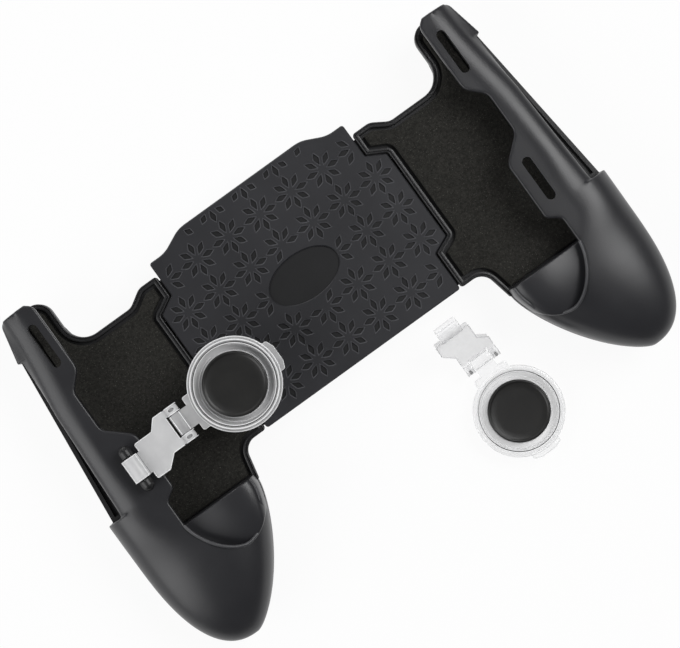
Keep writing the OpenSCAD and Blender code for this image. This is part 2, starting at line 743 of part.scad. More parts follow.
module tray() {
  difference() {
    union() {
      difference() {
        slab(tray_outline(), tray_z, bed_z);
        slab(rounded(inset(bed_corners(), rim_w)), bed_z - bed_depth, bed_z + e);
        window_groove();
      }
      tongue();
      for (y = rail_y) {
        box(rail_end, half_mid + rail_root, y - rail_w / 2, y + rail_w / 2, rail_z, tray_z - 0.1);
        box(
          half_mid + seam_gap, half_mid + rail_root,
          y - rail_w / 2, y + rail_w / 2,
          rail_z, tray_z + 0.6
        );
      }
      box(
        cross_x - cross_w / 2, cross_x + cross_w / 2,
        rail_y[1], rail_y[0],
        rail_z, tray_z - 0.1
      );
      hole([cross_x, rail_mid], post_r, spring_z - 1.2, rail_z + e);
    }
    for (p = grip_screws) hole(p, screw_r + screw_gap, tray_z - e, bed_z + 12);
  }
}

module left_tray() color(frame_c) mirror([1, 0, 0]) tray();
module right_tray() color(frame_c) tray();

module foam_pad() {
  slab(rounded(inset(bed_corners(), rim_w + foam_gap)), bed_z - bed_depth, bed_z - bed_depth + foam_t);
}

module left_foam_pad() color(foam_c) mirror([1, 0, 0]) foam_pad();
module right_foam_pad() color(foam_c) foam_pad();

function lip_corners() = [
  [ridge_crest(handle_top) - 0.5, handle_top, 0.3],
  [lobe_top_x, handle_top, 3],
  [lobe_top_x, lobe_top_y, 3.5],
  [lobe_mid_x, hollow_top_y, 3.5],
  [lobe_mid_x, -hollow_low_y, 3.5],
  [lobe_low_x, -lobe_low_y, 3.5],
  [lobe_low_x, -lobe_end_y, 2],
  [lip_foot_x, -foot_y, 2],
  [lip_foot_x, -grip_y, 0.3],
  [lip_foot_x + 2.3, -grip_y, 0.3],
  [ridge_crest(-shoulder_y) - 0.5, -shoulder_y - 2, 0.3]
];

module slot(x, y) {
  translate([x, y, lip_z - e]) {
    for (s = [-1, 1]) translate([0, s * slot_end, 0]) cylinder(d = slot_w, h = lip_t + 2 * e);
    translate([-slot_w / 2, -slot_end, 0]) cube([slot_w, 2 * slot_end, lip_t + 2 * e]);
  }
}

module front_shell() {
  difference() {
    union() {
      loft([for (y = ridge_ys) ridge_ring(y)]);
      loft([for (y = front_ys) front_ring(y)]);
      slab(rounded(lip_corners()), lip_z, lip_top);
      slab(
        concat(
          [[wall_x, handle_top], [wall_x, window_y], [frame_outer(window_y) - 0.3, window_y]],
          [for (i = [len(end_ys) - 1:-1:0]) [frame_outer(end_ys[i]) - 0.3, end_ys[i]]]
        ),
        bed_z,
        window_top + 0.4
      );
    }
    box(inside_x, wall_x, -stop_y, handle_top + 5, 0, lip_z);
    slab(
      concat(
        [[lip_foot_x, -stop_y + 4.8]],
        cut_curve(0),
        [[inside_x, -stop_y - cut_depth / 2], [inside_x, -stop_y + 4.8]]
      ),
      bed_z - e,
      ridge_top + 5
    );
    slot(slot_top_x, slot_top_y);
    slot(slot_low_x, -slot_low_y);
    difference() {
      loft([for (y = hollow_ys) hollow_ring(y)]);
      hole(grip_screws[2], screw_head_r + 1.1, bed_z - e, ridge_top);
    }
    for (p = grip_screws) hole(p, screw_r + 0.05, bed_z - e, screw_seat + grip_screw_l + 0.5);
  }
}

module left_front_shell() color(shell_c) mirror([1, 0, 0]) front_shell();
module right_front_shell() color(shell_c) front_shell();

module rear_shell() {
  difference() {
    loft([for (y = concat(rear_ys, grip_ys)) rear_ring(y, 0)]);
    difference() {
      loft([for (y = concat(rear_hollow_ys, hollow_ys)) rear_ring(y, shell_t)]);
      for (p = grip_screws) hole(p, 2 * screw_head_r + 0.2, -e, tray_z + 2);
    }
    for (p = grip_screws) {
      hole(p, screw_head_r + screw_gap, -e, screw_seat);
      hole(p, screw_r + screw_gap, screw_seat - e, tray_z + e);
    }
  }
}

module left_rear_shell() color(shell_c) mirror([1, 0, 0]) rear_shell();
module right_rear_shell() color(shell_c) rear_shell();

module grip_screw_set() {
  for (p = grip_screws) screw(p, screw_seat, grip_screw_l);
}

module left_grip_screws() color(steel_c) mirror([1, 0, 0]) grip_screw_set();
module right_grip_screws() color(steel_c) grip_screw_set();

// The joysticks are drawn with the hook's axis along Y through the origin and the ring on the +X side.
module turned(length) {
  translate([0, length / 2, 0]) rotate([90, 0, 0]) children();
}

module left_clip_bar() color(rubber_c) translate([-slot_low_x, -slot_low_y, bar_z]) {
  turned(2 * slot_end) cylinder(r = bar_r, h = 2 * slot_end);
  for (s = [-1, 1])
    translate([0, s * slot_end, 0]) {
      sphere(r = bar_end_r);
      translate([0, 0, -bar_rise]) cylinder(r = bar_end_r, h = bar_rise);
      translate([0, 0, -bar_rise - lip_t - 0.3]) cylinder(r = slot_w / 2 - bar_gap, h = lip_t + 1);
    }
}

module ear() {
  intersection() {
    union() {
      translate([hinge_x, 0, -hinge_drop]) turned(ear_w) cylinder(r = ear_r, h = ear_w);
      box(arm_end - 1, hinge_x, -ear_w / 2, ear_w / 2, -arm_drop, -arm_drop + arm_t);
    }
    slab(
      rounded([
        [arm_end - 2, -ear_w / 2, 0.1], [hinge_x + ear_r, -ear_w / 2, ear_round],
        [hinge_x + ear_r, ear_w / 2, ear_round], [arm_end - 2, ear_w / 2, 0.1]
      ]),
      -hinge_drop - ear_r - e,
      -hinge_drop + ear_r + e
    );
  }
}

module stick_clip() {
  ear_y = barrel_w / 2 + ear_gap;
  bore_l = 2 * (ear_y + stub_l);
  difference() {
    union() {
      rotate([90, 0, 0]) rotate([0, 0, -50]) rotate_extrude(angle = 240)
        translate([hook_r, -hook_w / 2]) square([hook_t, hook_w]);
      slab(
        rounded([
          [hook_r + 0.2, -hook_w / 2, 0.1], [arm_start, -hook_w / 2, 0.2],
          [arm_start, -arm_w / 2, arm_round], [arm_start + 4, -arm_w / 2, arm_round],
          [arm_start + 7.3, hinge_y - ears_w / 2, arm_round], [arm_end, hinge_y - ears_w / 2, 0.1],
          [arm_end, hinge_y + ears_w / 2, 0.1], [arm_start + 8, hinge_y + ears_w / 2, arm_round],
          [arm_start + 5.6, arm_w / 2, arm_round], [arm_start, arm_w / 2, arm_round],
          [arm_start, hook_w / 2, 0.2], [hook_r + 0.2, hook_w / 2, 0.1]
        ]),
        -arm_drop,
        -arm_drop + arm_t
      );
      for (s = [-1, 1]) translate([0, hinge_y + s * (ear_y + ear_w / 2), 0]) ear();
    }
    translate([hinge_x, hinge_y, -hinge_drop]) turned(bore_l) cylinder(r = stub_r + stub_gap, h = bore_l);
    turned(2 * hook_w) cylinder(r = hook_r, h = 2 * hook_w);
  }
}

module stick_ring() {
  r = ring_r;
  pin_l = barrel_w + 2 * ear_gap + 2 * stub_l - 0.4;
  translate([hinge_x, hinge_y, -hinge_drop]) {
    turned(barrel_w) cylinder(r = barrel_r, h = barrel_w);
    turned(pin_l) cylinder(r = stub_r, h = pin_l);
    box(0, 4, -barrel_w / 2, barrel_w / 2, -barrel_r + 0.3, 0.9);
  }
  translate([centre_x, hinge_y, 0]) {
    translate([0, 0, ring_z]) rotate_extrude(angle = 360) polygon([
      [ring_in, 0.3], [ring_in + 0.3, 0], [r - 0.5, 0], [r - 0.5, 0.9], [r, 1.3], [r, ring_h - 1],
      [r - 0.2, ring_h - 0.7], [r - 0.8, ring_h - 0.7], [r - 0.9, ring_h - 0.2], [r - 1.1, ring_h],
      [r - 1.4, ring_h], [r - 1.5, ring_h - 0.6], [ring_in, ring_h - 0.6]
    ]);
    difference() {
      box(-r - 0.9, -r + 2, -bracket_w / 2, bracket_w / 2, -hinge_drop - barrel_r + 0.3, -hinge_drop + 0.9);
      translate([0, 0, ring_z - e]) cylinder(r = r - 0.6, h = ring_h + 2 * e);
    }
    difference() {
      slab(
        [
          [r - 2, -tab_w / 2], [r + tab_out - 0.9, -tab_w / 2], [r + tab_out, -tab_w / 4],
          [r + tab_out, tab_w / 4], [r + tab_out - 0.9, tab_w / 2], [r - 2, tab_w / 2]
        ],
        -hinge_drop - 1.2,
        -hinge_drop + 0.6
      );
      translate([0, 0, ring_z - e]) cylinder(r = r - 0.6, h = ring_h + 2 * e);
    }
  }
}

function spiral(i, n, d) =
  let (a = 96 + 330 * i / n, r = mix(band_in, band_out, i / n) + d)
  r * [cos(a), sin(a)];

module stick_flexure() {
  n = 44;
  translate([centre_x, hinge_y, disc_z + 0.1]) linear_extrude(band_h) {
    polygon(concat(
      [for (i = [0:n]) spiral(i, n, band_w / 2)],
      [for (i = [n:-1:0]) spiral(i, n, -band_w / 2)]
    ));
    rotate(97) translate([disc_r + band_gap, -1]) square([band_w + 0.2, 2]);
    rotate(65) translate([ring_in - band_gap - band_w - 0.2, -1]) square([band_w + 0.15, 2]);
  }
}

module stick_carrier() {
  translate([centre_x, hinge_y, 0]) {
    translate([0, 0, disc_z]) cylinder(r = disc_r, h = disc_t);
    translate([0, 0, contact_z + contact_t]) cylinder(r = boss_r, h = disc_z - contact_z - contact_t + 0.1);
  }
}

module stick_thumb_pad() {
  steps = 6;
  translate([centre_x, hinge_y, pad_z]) rotate_extrude(angle = 360) polygon(concat(
    [[0, 0], [pad_r, 0], [pad_r, pad_t - 0.3]],
    [for (i = [0:steps]) let (t = 1 - i / steps) [(pad_r - 0.3) * t, pad_t - pad_dish * (1 - t * t)]]
  ));
}

module stick_contact() {
  translate([centre_x, hinge_y, contact_z]) cylinder(r = contact_r, h = contact_t);
}

module left_place() {
  translate([-slot_low_x, -slot_low_y, bar_z]) children();
}

module right_place() {
  translate([loose_x, -loose_y, -contact_z])
    rotate([0, 0, loose_turn])
    translate([-centre_x, -hinge_y, 0])
    children();
}

module left_stick_clip() color(clear_c) left_place() stick_clip();
module left_stick_ring() color(clear_c) left_place() stick_ring();
module left_stick_flexure() color(clear_c) left_place() stick_flexure();
module left_stick_carrier() color(clear_c) left_place() stick_carrier();
module left_stick_thumb_pad() color(rubber_c) left_place() stick_thumb_pad();
module left_stick_contact() color(rubber_c) left_place() stick_contact();

module right_stick_clip() color(clear_c) right_place()
  translate([hinge_x, 0, -hinge_drop])
  rotate([0, loose_fold, 0])
  translate([-hinge_x, 0, hinge_drop])
  stick_clip();
module right_stick_ring() color(clear_c) right_place() stick_ring();
module right_stick_flexure() color(clear_c) right_place() stick_flexure();
module right_stick_carrier() color(clear_c) right_place() stick_carrier();
module right_stick_thumb_pad() color(rubber_c) right_place() stick_thumb_pad();
module right_stick_contact() color(rubber_c) right_place() stick_contact();

centre_skin();
centre_front_cover();
centre_back_cover();
centre_screws();
left_spring();
right_spring();
left_tray();
left_foam_pad();
left_front_shell();
left_rear_shell();
left_grip_screws();
left_clip_bar();
right_tray();
right_foam_pad();
right_front_shell();
right_rear_shell();
right_grip_screws();
left_stick_clip();
left_stick_ring();
left_stick_flexure();
left_stick_carrier();
left_stick_thumb_pad();
left_stick_contact();
right_stick_clip();
right_stick_ring();
right_stick_flexure();
right_stick_carrier();
right_stick_thumb_pad();
right_stick_contact();
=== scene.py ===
import math

import bmesh
import bpy
import numpy as np
from mathutils import Matrix, Vector
from mathutils.kdtree import KDTree


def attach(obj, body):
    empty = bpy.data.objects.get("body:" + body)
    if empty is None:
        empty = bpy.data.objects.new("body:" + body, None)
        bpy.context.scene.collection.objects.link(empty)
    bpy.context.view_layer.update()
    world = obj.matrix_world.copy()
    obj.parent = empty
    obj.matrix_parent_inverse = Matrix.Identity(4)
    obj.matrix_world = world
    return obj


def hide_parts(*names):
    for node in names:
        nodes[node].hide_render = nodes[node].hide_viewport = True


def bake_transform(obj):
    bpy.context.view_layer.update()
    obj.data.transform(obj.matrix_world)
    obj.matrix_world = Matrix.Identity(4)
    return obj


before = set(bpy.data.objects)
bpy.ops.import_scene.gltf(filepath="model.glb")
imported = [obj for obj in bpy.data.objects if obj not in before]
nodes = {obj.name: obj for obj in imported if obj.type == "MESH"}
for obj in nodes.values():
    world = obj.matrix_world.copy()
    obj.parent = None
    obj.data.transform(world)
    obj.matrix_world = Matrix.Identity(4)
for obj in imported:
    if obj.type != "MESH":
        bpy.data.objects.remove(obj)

scene = bpy.context.scene
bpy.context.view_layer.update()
MM = 0.001

# Sizes shared with the part's source, in millimetres and degrees
HALF_W, HALF_MID = 32.2, 37.4
WALL_X, HANDLE_TOP, STOP_Y, SHOULDER_Y, WINDOW_Y = 69.6, 38.2, 33.8, 22.5, 26.5
TRAY_Z, BED_Z, LIP_Z, LIP_TOP, WINDOW_TOP, RIDGE_TOP = 8.8, 12.0, 21.7, 23.7, 19.0, 23.8
SKIN_Z, SKIN_TOP = 10.8, 12.2
GRIP_X, GRIP_Y, GRIP_LEN, GRIP_OUT, GRIP_IN, FULL = 66.0, 36.0, 33.0, 16.2, 23.7, 2.4
LIP_FOOT_X, CUT_X, CUT_IN, CUT_DEPTH = 64.2, 53.2, 11.3, 13.8
RAIL_MID, RAIL_SPAN, RAIL_IN, RAIL_OUT, RAIL_HALF, ROLL = 1.7, 19.0, 4.4, 49.4, 2.5, 5.6
FIXED_POST, RAIL_POST, SPRING_Z = 2, 16, 3.9
SLOT_LENGTH, SLOT_WIDTH = 13.3, 2.65
SLOT_PLACES = [(66.5, 26.2), (65.3, -14.2)]
STICK_X, STICK_Y, HINGE_X, HINGE_Z = 33.9, 2.9, 16.4, -0.7
BARREL_X, BARREL_R = -17.5, 1.9
CLIPPED_AT, LOOSE_AT = (-65.3, -14.2, 26.5), (26.1, -62.8, 4.9)
LOOSE_TURN, CLIP_FOLD = -89, 38
GRIP_SCREWS = [(72.3, 32.4), (75.6, -29.0), (66.0, -55.0)]
COVER_SCREWS = [(x * 24.0, 1 + y * 21.0) for x in (-1, 1) for y in (-1, 1)]

# Sizes of forms that are in this script alone, in millimetres, and how often the bead's path is evened
TONGUE_X, TONGUE_FULL, TONGUE_RISE, TONGUE_FALL = 51.0, 6.5, 12.0, 1.5
BEAD_R, BEAD_IN, BEAD_LIFT, BEAD_OVER, BEAD_ROUNDS = 0.46, 0.9, 0.35, 0.3, 12
LEAF_NEAR, LEAF_NEAR_TOP, LEAF_FAR, LEAF_WIDTH = 1.55, 2.45, 4.85, 1.55
LEAF_STEP_X, LEAF_STEP_Y = 10.4, 10.25
OVAL_X, OVAL_Y, OVAL_MID, SKIN_BEVEL, SKIN_HALF = 10.7, 6.3, 1.5, 0.27, 0.12
LINE_R = 0.14


# Curves of the handles, a pair of X values being for the upper and the lower end
FRAME_X, FRAME_ROUND, FRAME_TAPER, BLOCK_IN, END_ROUND = (75.0, 81.0), 1.6, 1.4, 0.3, 4.5
RIDGE_X, RIDGE_FOOT, ROLL_TURN, CREST_IN_TOP, CREST_IN_LOW = (74.6, 76.8), 1.4, 62, 2.4, 1.3
GRIP_OUT_FULL, GRIP_IN_FULL, REAR_FULL, CUT_OUT_FULL, CUT_IN_FULL = 2.5, 1.38, 2.3, 1.6, 1.9
SEAM_LOW, SEAM_HIGH = -13.3, 16.7


def clamp(t):
    return min(max(t, 0.0), 1.0)


def full(t, n):
    """A superellipse's height, from one at its middle to nought at t = 1."""
    return max(1 - clamp(t) ** n, 0.0) ** (1 / n)


def ease(t):
    """A smooth step from nought to one."""
    c = clamp(t)
    return c * c * (3 - 2 * c)


def mix(a, b, t):
    return a + (b - a) * t


def grip_t(y):
    return (-GRIP_Y - y) / GRIP_LEN


def grip_outer(y):
    return GRIP_X + GRIP_OUT * full(grip_t(y), GRIP_OUT_FULL)


def grip_inner(y):
    return GRIP_X - GRIP_IN * full(grip_t(y), GRIP_IN_FULL)


def end_curve(y, r):
    """How far a round of radius r at the handle's top end draws the outline in."""
    s = (y - HANDLE_TOP + r) / r
    return r * (1 - math.sqrt(max(1 - s * s, 0))) if s > 0 else 0.0


def frame_outer(y):
    line = mix(*FRAME_X, (HANDLE_TOP - y) / (HANDLE_TOP + SHOULDER_Y)) - end_curve(y, FRAME_ROUND)
    return line - FRAME_TAPER * clamp((y - WINDOW_Y) / (HANDLE_TOP - WINDOW_Y))


def edge_outer(y):
    return frame_outer(y) if y > -SHOULDER_Y else grip_outer(y)


def d_ring(y, inner, crest, outer, z, rise, n, steps):
    """A D-shaped section at y, from its inner foot over the crest to its outer foot."""
    ring = []
    for i in range(steps + 1):
        a = math.pi * (1 - i / steps)
        c, s = math.cos(a), math.sin(a)
        reach = crest - inner if c < 0 else outer - crest
        ring.append((
            crest + math.copysign(reach * abs(c) ** (2 / n), c),
            y,
            z + rise * abs(s) ** (2 / n),
        ))
    return ring


def ridge_line(y):
    return mix(*RIDGE_X, (WINDOW_Y - y) / (WINDOW_Y + SHOULDER_Y))


def ridge_outer(y):
    return frame_outer(y) - BLOCK_IN if y > WINDOW_Y else ridge_line(y)


def ridge_crest(y):
    return ridge_line(y) - ROLL - CREST_IN_TOP * ease(y / 34) - CREST_IN_LOW * ease((-8 - y) / 14.5)


def ridge_ring(y):
    """Section of the lip's outer side, which rolls over from the flat lip into the side wall."""
    crest, outer = ridge_crest(y), ridge_outer(y)
    foot = crest - RIDGE_FOOT
    z, top = LIP_TOP - 0.006, RIDGE_TOP - 0.12 * end_curve(y, END_ROUND)
    ring = [(WALL_X, y, WINDOW_TOP), (foot, y, LIP_Z - 0.4)]
    ring += [(mix(foot, crest, i / 20), y, mix(z, top, ease(i / 20))) for i in range(21)]
    last = math.radians(ROLL_TURN)
    for i in range(1, 25):
        a = last * i / 24
        reach = min(ROLL + 0.5, outer - crest) if y > 0 else outer - crest
        ring.append((crest + reach * math.sin(a) / math.sin(last), y, mix(WINDOW_TOP, top, math.cos(a))))
    return ring + [(outer, y, WINDOW_TOP)]


def front_inner(y):
    t = clamp((-SHOULDER_Y - y) / 17.5)
    return mix(WALL_X, grip_inner(min(y, -GRIP_Y)), t ** 2.2)


def front_crest(y):
    middle = mix(grip_inner(y), grip_outer(y), 0.46)
    return mix(ridge_crest(-SHOULDER_Y), middle, ease((-26 - y) / 17))


def front_rise(y):
    return (RIDGE_TOP - BED_Z) * full((-30 - y) / (GRIP_LEN + GRIP_Y - 30), FULL)


def front_ring(y):
    """Section of the hand grip's front."""
    return d_ring(y, front_inner(y), front_crest(y), grip_outer(y), BED_Z, front_rise(y), FULL, 72)


def front_top(x, y):
    """Height of the grip's surface over a point."""
    inner, crest, outer = front_inner(y), front_crest(y), grip_outer(y)
    t = clamp(abs(x - crest) / (crest - inner if x < crest else outer - crest))
    return BED_Z + front_rise(y) * full(t, FULL)


def tongue_inner(y):
    return grip_inner(y) + 0.15


def tongue_ring(y):
    inner, outer = tongue_inner(y), TONGUE_X + 15
    xs = [TONGUE_X - (TONGUE_X - inner) * math.cos(math.pi / 2 * i / 40) for i in range(41)]
    xs += spread(TONGUE_X + 0.25, outer, 0.25)
    return [(x, y, tongue_top(x, y)) for x in xs] + [(outer, y, BED_Z - 1)]


def tongue_top(x, y):
    """Height of the tongue's round crown, which falls towards the cut-out's outer side and its bottom."""
    rise = TONGUE_RISE - 0.012 * (y + STOP_Y) ** 2
    side = full((TONGUE_X - x) / (TONGUE_X - tongue_inner(y)), TONGUE_FULL)
    outer_fall = TONGUE_FALL * ease((x - TONGUE_X + 1) / 13.5)
    inner_fall = max(TONGUE_X - 1 - x, 0) ** 2 / 80
    return BED_Z - 1 + rise * side - outer_fall - inner_fall


def up_handle(y):
    return (y + GRIP_Y) / (HANDLE_TOP + GRIP_Y)


def rear_inner(y):
    if y > -GRIP_Y:
        return mix(grip_inner(-GRIP_Y), 62.6, max(up_handle(y), 0) ** 0.6) + end_curve(y, END_ROUND)
    return grip_inner(y)


def rear_depth(y):
    if y > -GRIP_Y:
        return mix(3.6, TRAY_Z, ease(1 - up_handle(y)))
    return TRAY_Z * full(grip_t(y), 2.2)


def rear_ring(y):
    """Section of the rear shell, which bulges down."""
    inner, outer = rear_inner(y), edge_outer(y)
    ring = d_ring(y, inner, mix(inner, outer, 0.55), outer, TRAY_Z, -rear_depth(y), REAR_FULL, 56)
    return ring[::-1]


def spread(a, b, step):
    """Even values from a to b, about a step apart."""
    n = max(1, round(abs(b - a) / step))
    return [mix(a, b, i / n) for i in range(n + 1)]


END_YS = [HANDLE_TOP - END_ROUND * (1 - math.cos(math.pi / 2 * k / 14)) for k in range(15)]
GRIP_YS = [-GRIP_Y - GRIP_LEN * math.sin(math.radians(88.5) * k / 44) for k in range(45)]


def cut_curve(g, step=3):
    """The cut-out's edge, from its outer side round the bottom, drawn in by g."""
    points = []
    for d in range(0, 158, step):
        a = math.radians(d)
        c, s = math.cos(a), math.sin(a)
        n = CUT_OUT_FULL if c > 0 else CUT_IN_FULL
        reach = LIP_FOOT_X - CUT_X - g if c > 0 else CUT_IN - g
        points.append((
            CUT_X + math.copysign(reach * abs(c) ** (2 / n), c),
            -STOP_Y - (CUT_DEPTH - g) * abs(s) ** (2 / n),
        ))
    return points


# Outlines with rounded corners, anticlockwise, a corner being (x, y, radius)
ARC_STEP = 6


def arc_at(p0, p1, p2, r):
    """The round of a corner, with a point about every ARC_STEP degrees."""
    p0, p1, p2 = Vector(p0[:2]), Vector(p1[:2]), Vector(p2[:2])
    a, b = (p0 - p1).normalized(), (p2 - p1).normalized()
    half = math.acos(max(-1, min(1, a.dot(b)))) / 2
    if half > math.radians(89.5):
        return [tuple(p1)]
    c = p1 + (a + b).normalized() * r / math.sin(half)
    s, f = p1 + a * r / math.tan(half) - c, p1 + b * r / math.tan(half) - c
    start = math.atan2(s.y, s.x)
    turn = (math.atan2(f.y, f.x) - start + 3 * math.pi) % (2 * math.pi) - math.pi
    n = max(2, math.ceil(abs(math.degrees(turn)) / ARC_STEP))
    return [
        (c.x + r * math.cos(start + turn * i / n), c.y + r * math.sin(start + turn * i / n))
        for i in range(n + 1)
    ]


def rounded(corners):
    n = len(corners)
    return [
        p
        for i in range(n)
        for p in arc_at(corners[i - 1], corners[i], corners[(i + 1) % n], corners[i][2])
    ]


def open_run(corners):
    return [
        p
        for i in range(1, len(corners) - 1)
        for p in arc_at(corners[i - 1], corners[i], corners[i + 1], corners[i][2])
    ]


def inset(corners, d):
    """The corners of the outline that lies d inside."""
    out, n = [], len(corners)
    for i in range(n):
        p, q, r = (Vector(corners[k % n][:2]) for k in (i - 1, i, i + 1))
        u, v = (q - p).normalized(), (r - q).normalized()
        u, v = Vector((-u.y, u.x)), Vector((-v.y, v.x))
        at = q + (u + v) * d / (1 + u.dot(v))
        convex = u.x * v.y - u.y * v.x > 0
        out.append((at.x, at.y, max(corners[i][2] - d if convex else corners[i][2] + d, 0.15)))
    return out


def seam(d):
    return [
        (HALF_W + d, SEAM_LOW - 1.12, 0.8), (HALF_MID + d, SEAM_LOW + 1.12, 0.8),
        (HALF_MID + d, SEAM_HIGH - 1.4, 0.8), (HALF_W + d, SEAM_HIGH + 1.4, 0.8),
    ]


def plate_corners():
    right = [(HALF_W, -26, 0.8), *seam(0), (HALF_W, 28.6, 0.8), (27.0, 28.6, 9), (20.3, 31.8, 9)]
    return right + [(-x, y, r) for x, y, r in right[::-1]]


def bed_corners():
    return [
        (WALL_X + 1.4, HANDLE_TOP, 1), (61, HANDLE_TOP, 4.5), (61, 21.9, 6.5), (43.2, 21.9, 4),
        (38.4, 24.9, 4), (HALF_W + 0.55, 24.9, 0.8), *seam(0.55)[::-1], (HALF_W + 0.55, -26, 0.8),
        (grip_inner(-GRIP_Y) - 2.5, -26, 4.2), (grip_inner(-GRIP_Y) - 0.4, -STOP_Y - 1.9, 0.4),
        (WALL_X + 1.4, -STOP_Y - 1.9, 1),
    ]


def tray_outline():
    top = [(frame_outer(20), 20, 0), (74.64, HANDLE_TOP, 2.5)]
    run = top + bed_corners()[1:-2] + [(grip_inner(-GRIP_Y), -GRIP_Y, 0)]
    low = [(grip_inner(y), y) for y in GRIP_YS]
    return (
        open_run(run) + low + [(grip_outer(y), y) for y in GRIP_YS[::-1]]
        + [(grip_outer(-SHOULDER_Y), -SHOULDER_Y - 0.1), (FRAME_X[1], -SHOULDER_Y + 0.1)]
    )


def lip_corners():
    return [
        (68, HANDLE_TOP, 0.3), (62.9, HANDLE_TOP, 3), (62.9, 16.4, 3.5), (67.4, 11.8, 3.5), (67.4, -0.6, 3.5),
        (60.6, -6.6, 3.5), (60.6, -23.9, 2), (LIP_FOOT_X, -26.2, 2), (LIP_FOOT_X, -GRIP_Y, 0.3),
        (66.5, -GRIP_Y, 0.3), (70.7, -24.5, 0.3),
    ]


def slot_outline(x, y):
    end, r = (SLOT_LENGTH - SLOT_WIDTH) / 2, SLOT_WIDTH / 2
    return [(x + r * c, y + r * s + (end if s >= 0 else -end)) for c, s in circle(48)]


# Solids in millimetres, as meshes; a full turned one starts AXIS_R from its axis
AXIS_R = 0.02


def solid(verts, faces):
    """A mesh from points and faces, its points merged and its faces turned outwards."""
    bm = bmesh.new()
    made = [bm.verts.new(v) for v in verts]
    for f in faces:
        bm.faces.new([made[i] for i in f])
    bmesh.ops.remove_doubles(bm, verts=bm.verts, dist=1e-5)
    bmesh.ops.recalc_face_normals(bm, faces=bm.faces)
    mesh = bpy.data.meshes.new("solid")
    bm.to_mesh(mesh)
    bm.free()
    return mesh


def loft(rings):
    """A closed skin over a row of rings with the same number of points."""
    n, m = len(rings[0]), len(rings)
    faces = [tuple(range(n)), tuple((m - 1) * n + i for i in range(n))]
    faces += [
        (j * n + i, j * n + (i + 1) % n, (j + 1) * n + (i + 1) % n, (j + 1) * n + i)
        for j in range(m - 1)
        for i in range(n)
    ]
    return solid([p for r in rings for p in r], faces)


def slab(points, z0, z1):
    """An outline carried from z0 to z1."""
    n = len(points)
    verts = [(x, y, z0) for x, y in points] + [(x, y, z1) for x, y in points]
    faces = [tuple(range(n)), tuple(range(n, 2 * n))]
    faces += [(i, (i + 1) % n, n + (i + 1) % n, n + i) for i in range(n)]
    return solid(verts, faces)


def sweep(corners, profile):
    """A closed section of (inset, z) carried round an outline."""
    rings = [[(x, y, z) for x, y in rounded(inset(corners, d))] for d, z in profile]
    n, m = len(rings[0]), len(rings)
    faces = [
        (j * n + i, j * n + (i + 1) % n, (j + 1) % m * n + (i + 1) % n, (j + 1) % m * n + i)
        for j in range(m)
        for i in range(n)
    ]
    return solid([p for r in rings for p in r], faces)


def box(x0, x1, y0, y1, z0, z1):
    return slab([(x0, y0), (x1, y0), (x1, y1), (x0, y1)], z0, z1)


def circle(n):
    """The cosine and sine of n even steps round a circle."""
    return [(math.cos(2 * math.pi * k / n), math.sin(2 * math.pi * k / n)) for k in range(n)]


def disc(x, y, r, z0, z1, n=64):
    return slab([(x + r * c, y + r * s) for c, s in circle(n)], z0, z1)


def lathe(profile, n):
    """A closed profile of (radius, z) turned about Z."""
    m = len(profile)
    verts = [(r * c, r * s, z) for c, s in circle(n) for r, z in profile]
    faces = [
        (k * m + i, k * m + (i + 1) % m, (k + 1) % n * m + (i + 1) % m, (k + 1) % n * m + i)
        for k in range(n)
        for i in range(m)
    ]
    return solid(verts, faces)


def tube(path, r, n=12):
    """A round wire along a path."""
    points = [Vector(p) for p in path]
    runs = [
        (points[min(i + 1, len(points) - 1)] - points[max(i - 1, 0)]).normalized() for i in range(len(points))
    ]
    normal = runs[0].orthogonal().normalized()
    verts = []
    for p, t in zip(points, runs):
        normal = (normal - normal.dot(t) * t).normalized()
        side = t.cross(normal)
        verts += [p + r * (c * normal + s * side) for c, s in circle(n)]
    m = len(points)
    faces = [tuple(range(n)), tuple((m - 1) * n + k for k in range(n))]
    faces += [
        (j * n + k, j * n + (k + 1) % n, (j + 1) * n + (k + 1) % n, (j + 1) * n + k)
        for j in range(m - 1)
        for k in range(n)
    ]
    return solid([tuple(v) for v in verts], faces)


def baked(obj):
    """The object's mesh with its modifiers, the object itself being removed."""
    graph = bpy.context.evaluated_depsgraph_get()
    graph.update()
    mesh = bpy.data.meshes.new_from_object(obj.evaluated_get(graph))
    bpy.data.objects.remove(obj)
    return mesh


def worked(mesh, steps):
    """The mesh after a row of modifiers, each given as (kind, settings)."""
    obj = bpy.data.objects.new("worked", mesh)
    scene.collection.objects.link(obj)
    for kind, settings in steps:
        m = obj.modifiers.new(kind, kind)
        for key, value in settings.items():
            setattr(m, key, value)
    return baked(obj)


def carve(base, adds=(), cuts=(), keep=None):
    """The base with solids added and cut away, and then only what lies inside keep."""
    tools = []
    steps = []
    for kind, meshes in (("UNION", adds), ("DIFFERENCE", cuts), ("INTERSECT", [keep] if keep else [])):
        for mesh in meshes:
            tool = bpy.data.objects.new("tool", mesh)
            scene.collection.objects.link(tool)
            tool.hide_render = True
            tools.append(tool)
            steps.append(("BOOLEAN", {"operation": kind, "object": tool, "solver": "MANIFOLD"}))
    mesh = worked(base, steps)
    for tool in tools:
        bpy.data.objects.remove(tool)
    return mesh


def moulded(mesh, voxel, rounds):
    """The solid with every edge rounded as a moulding has it."""
    return worked(mesh, [
        ("REMESH", {"mode": "VOXEL", "voxel_size": voxel, "adaptivity": 0.0, "use_smooth_shade": True}),
        ("SMOOTH", {"factor": 0.5, "iterations": rounds}),
    ])


def bevelled(mesh, width):
    """The mesh with its sharp edges taken off."""
    settings = {"width": width, "segments": 2, "limit_method": "ANGLE", "angle_limit": math.radians(40)}
    return worked(mesh, [("BEVEL", settings)])


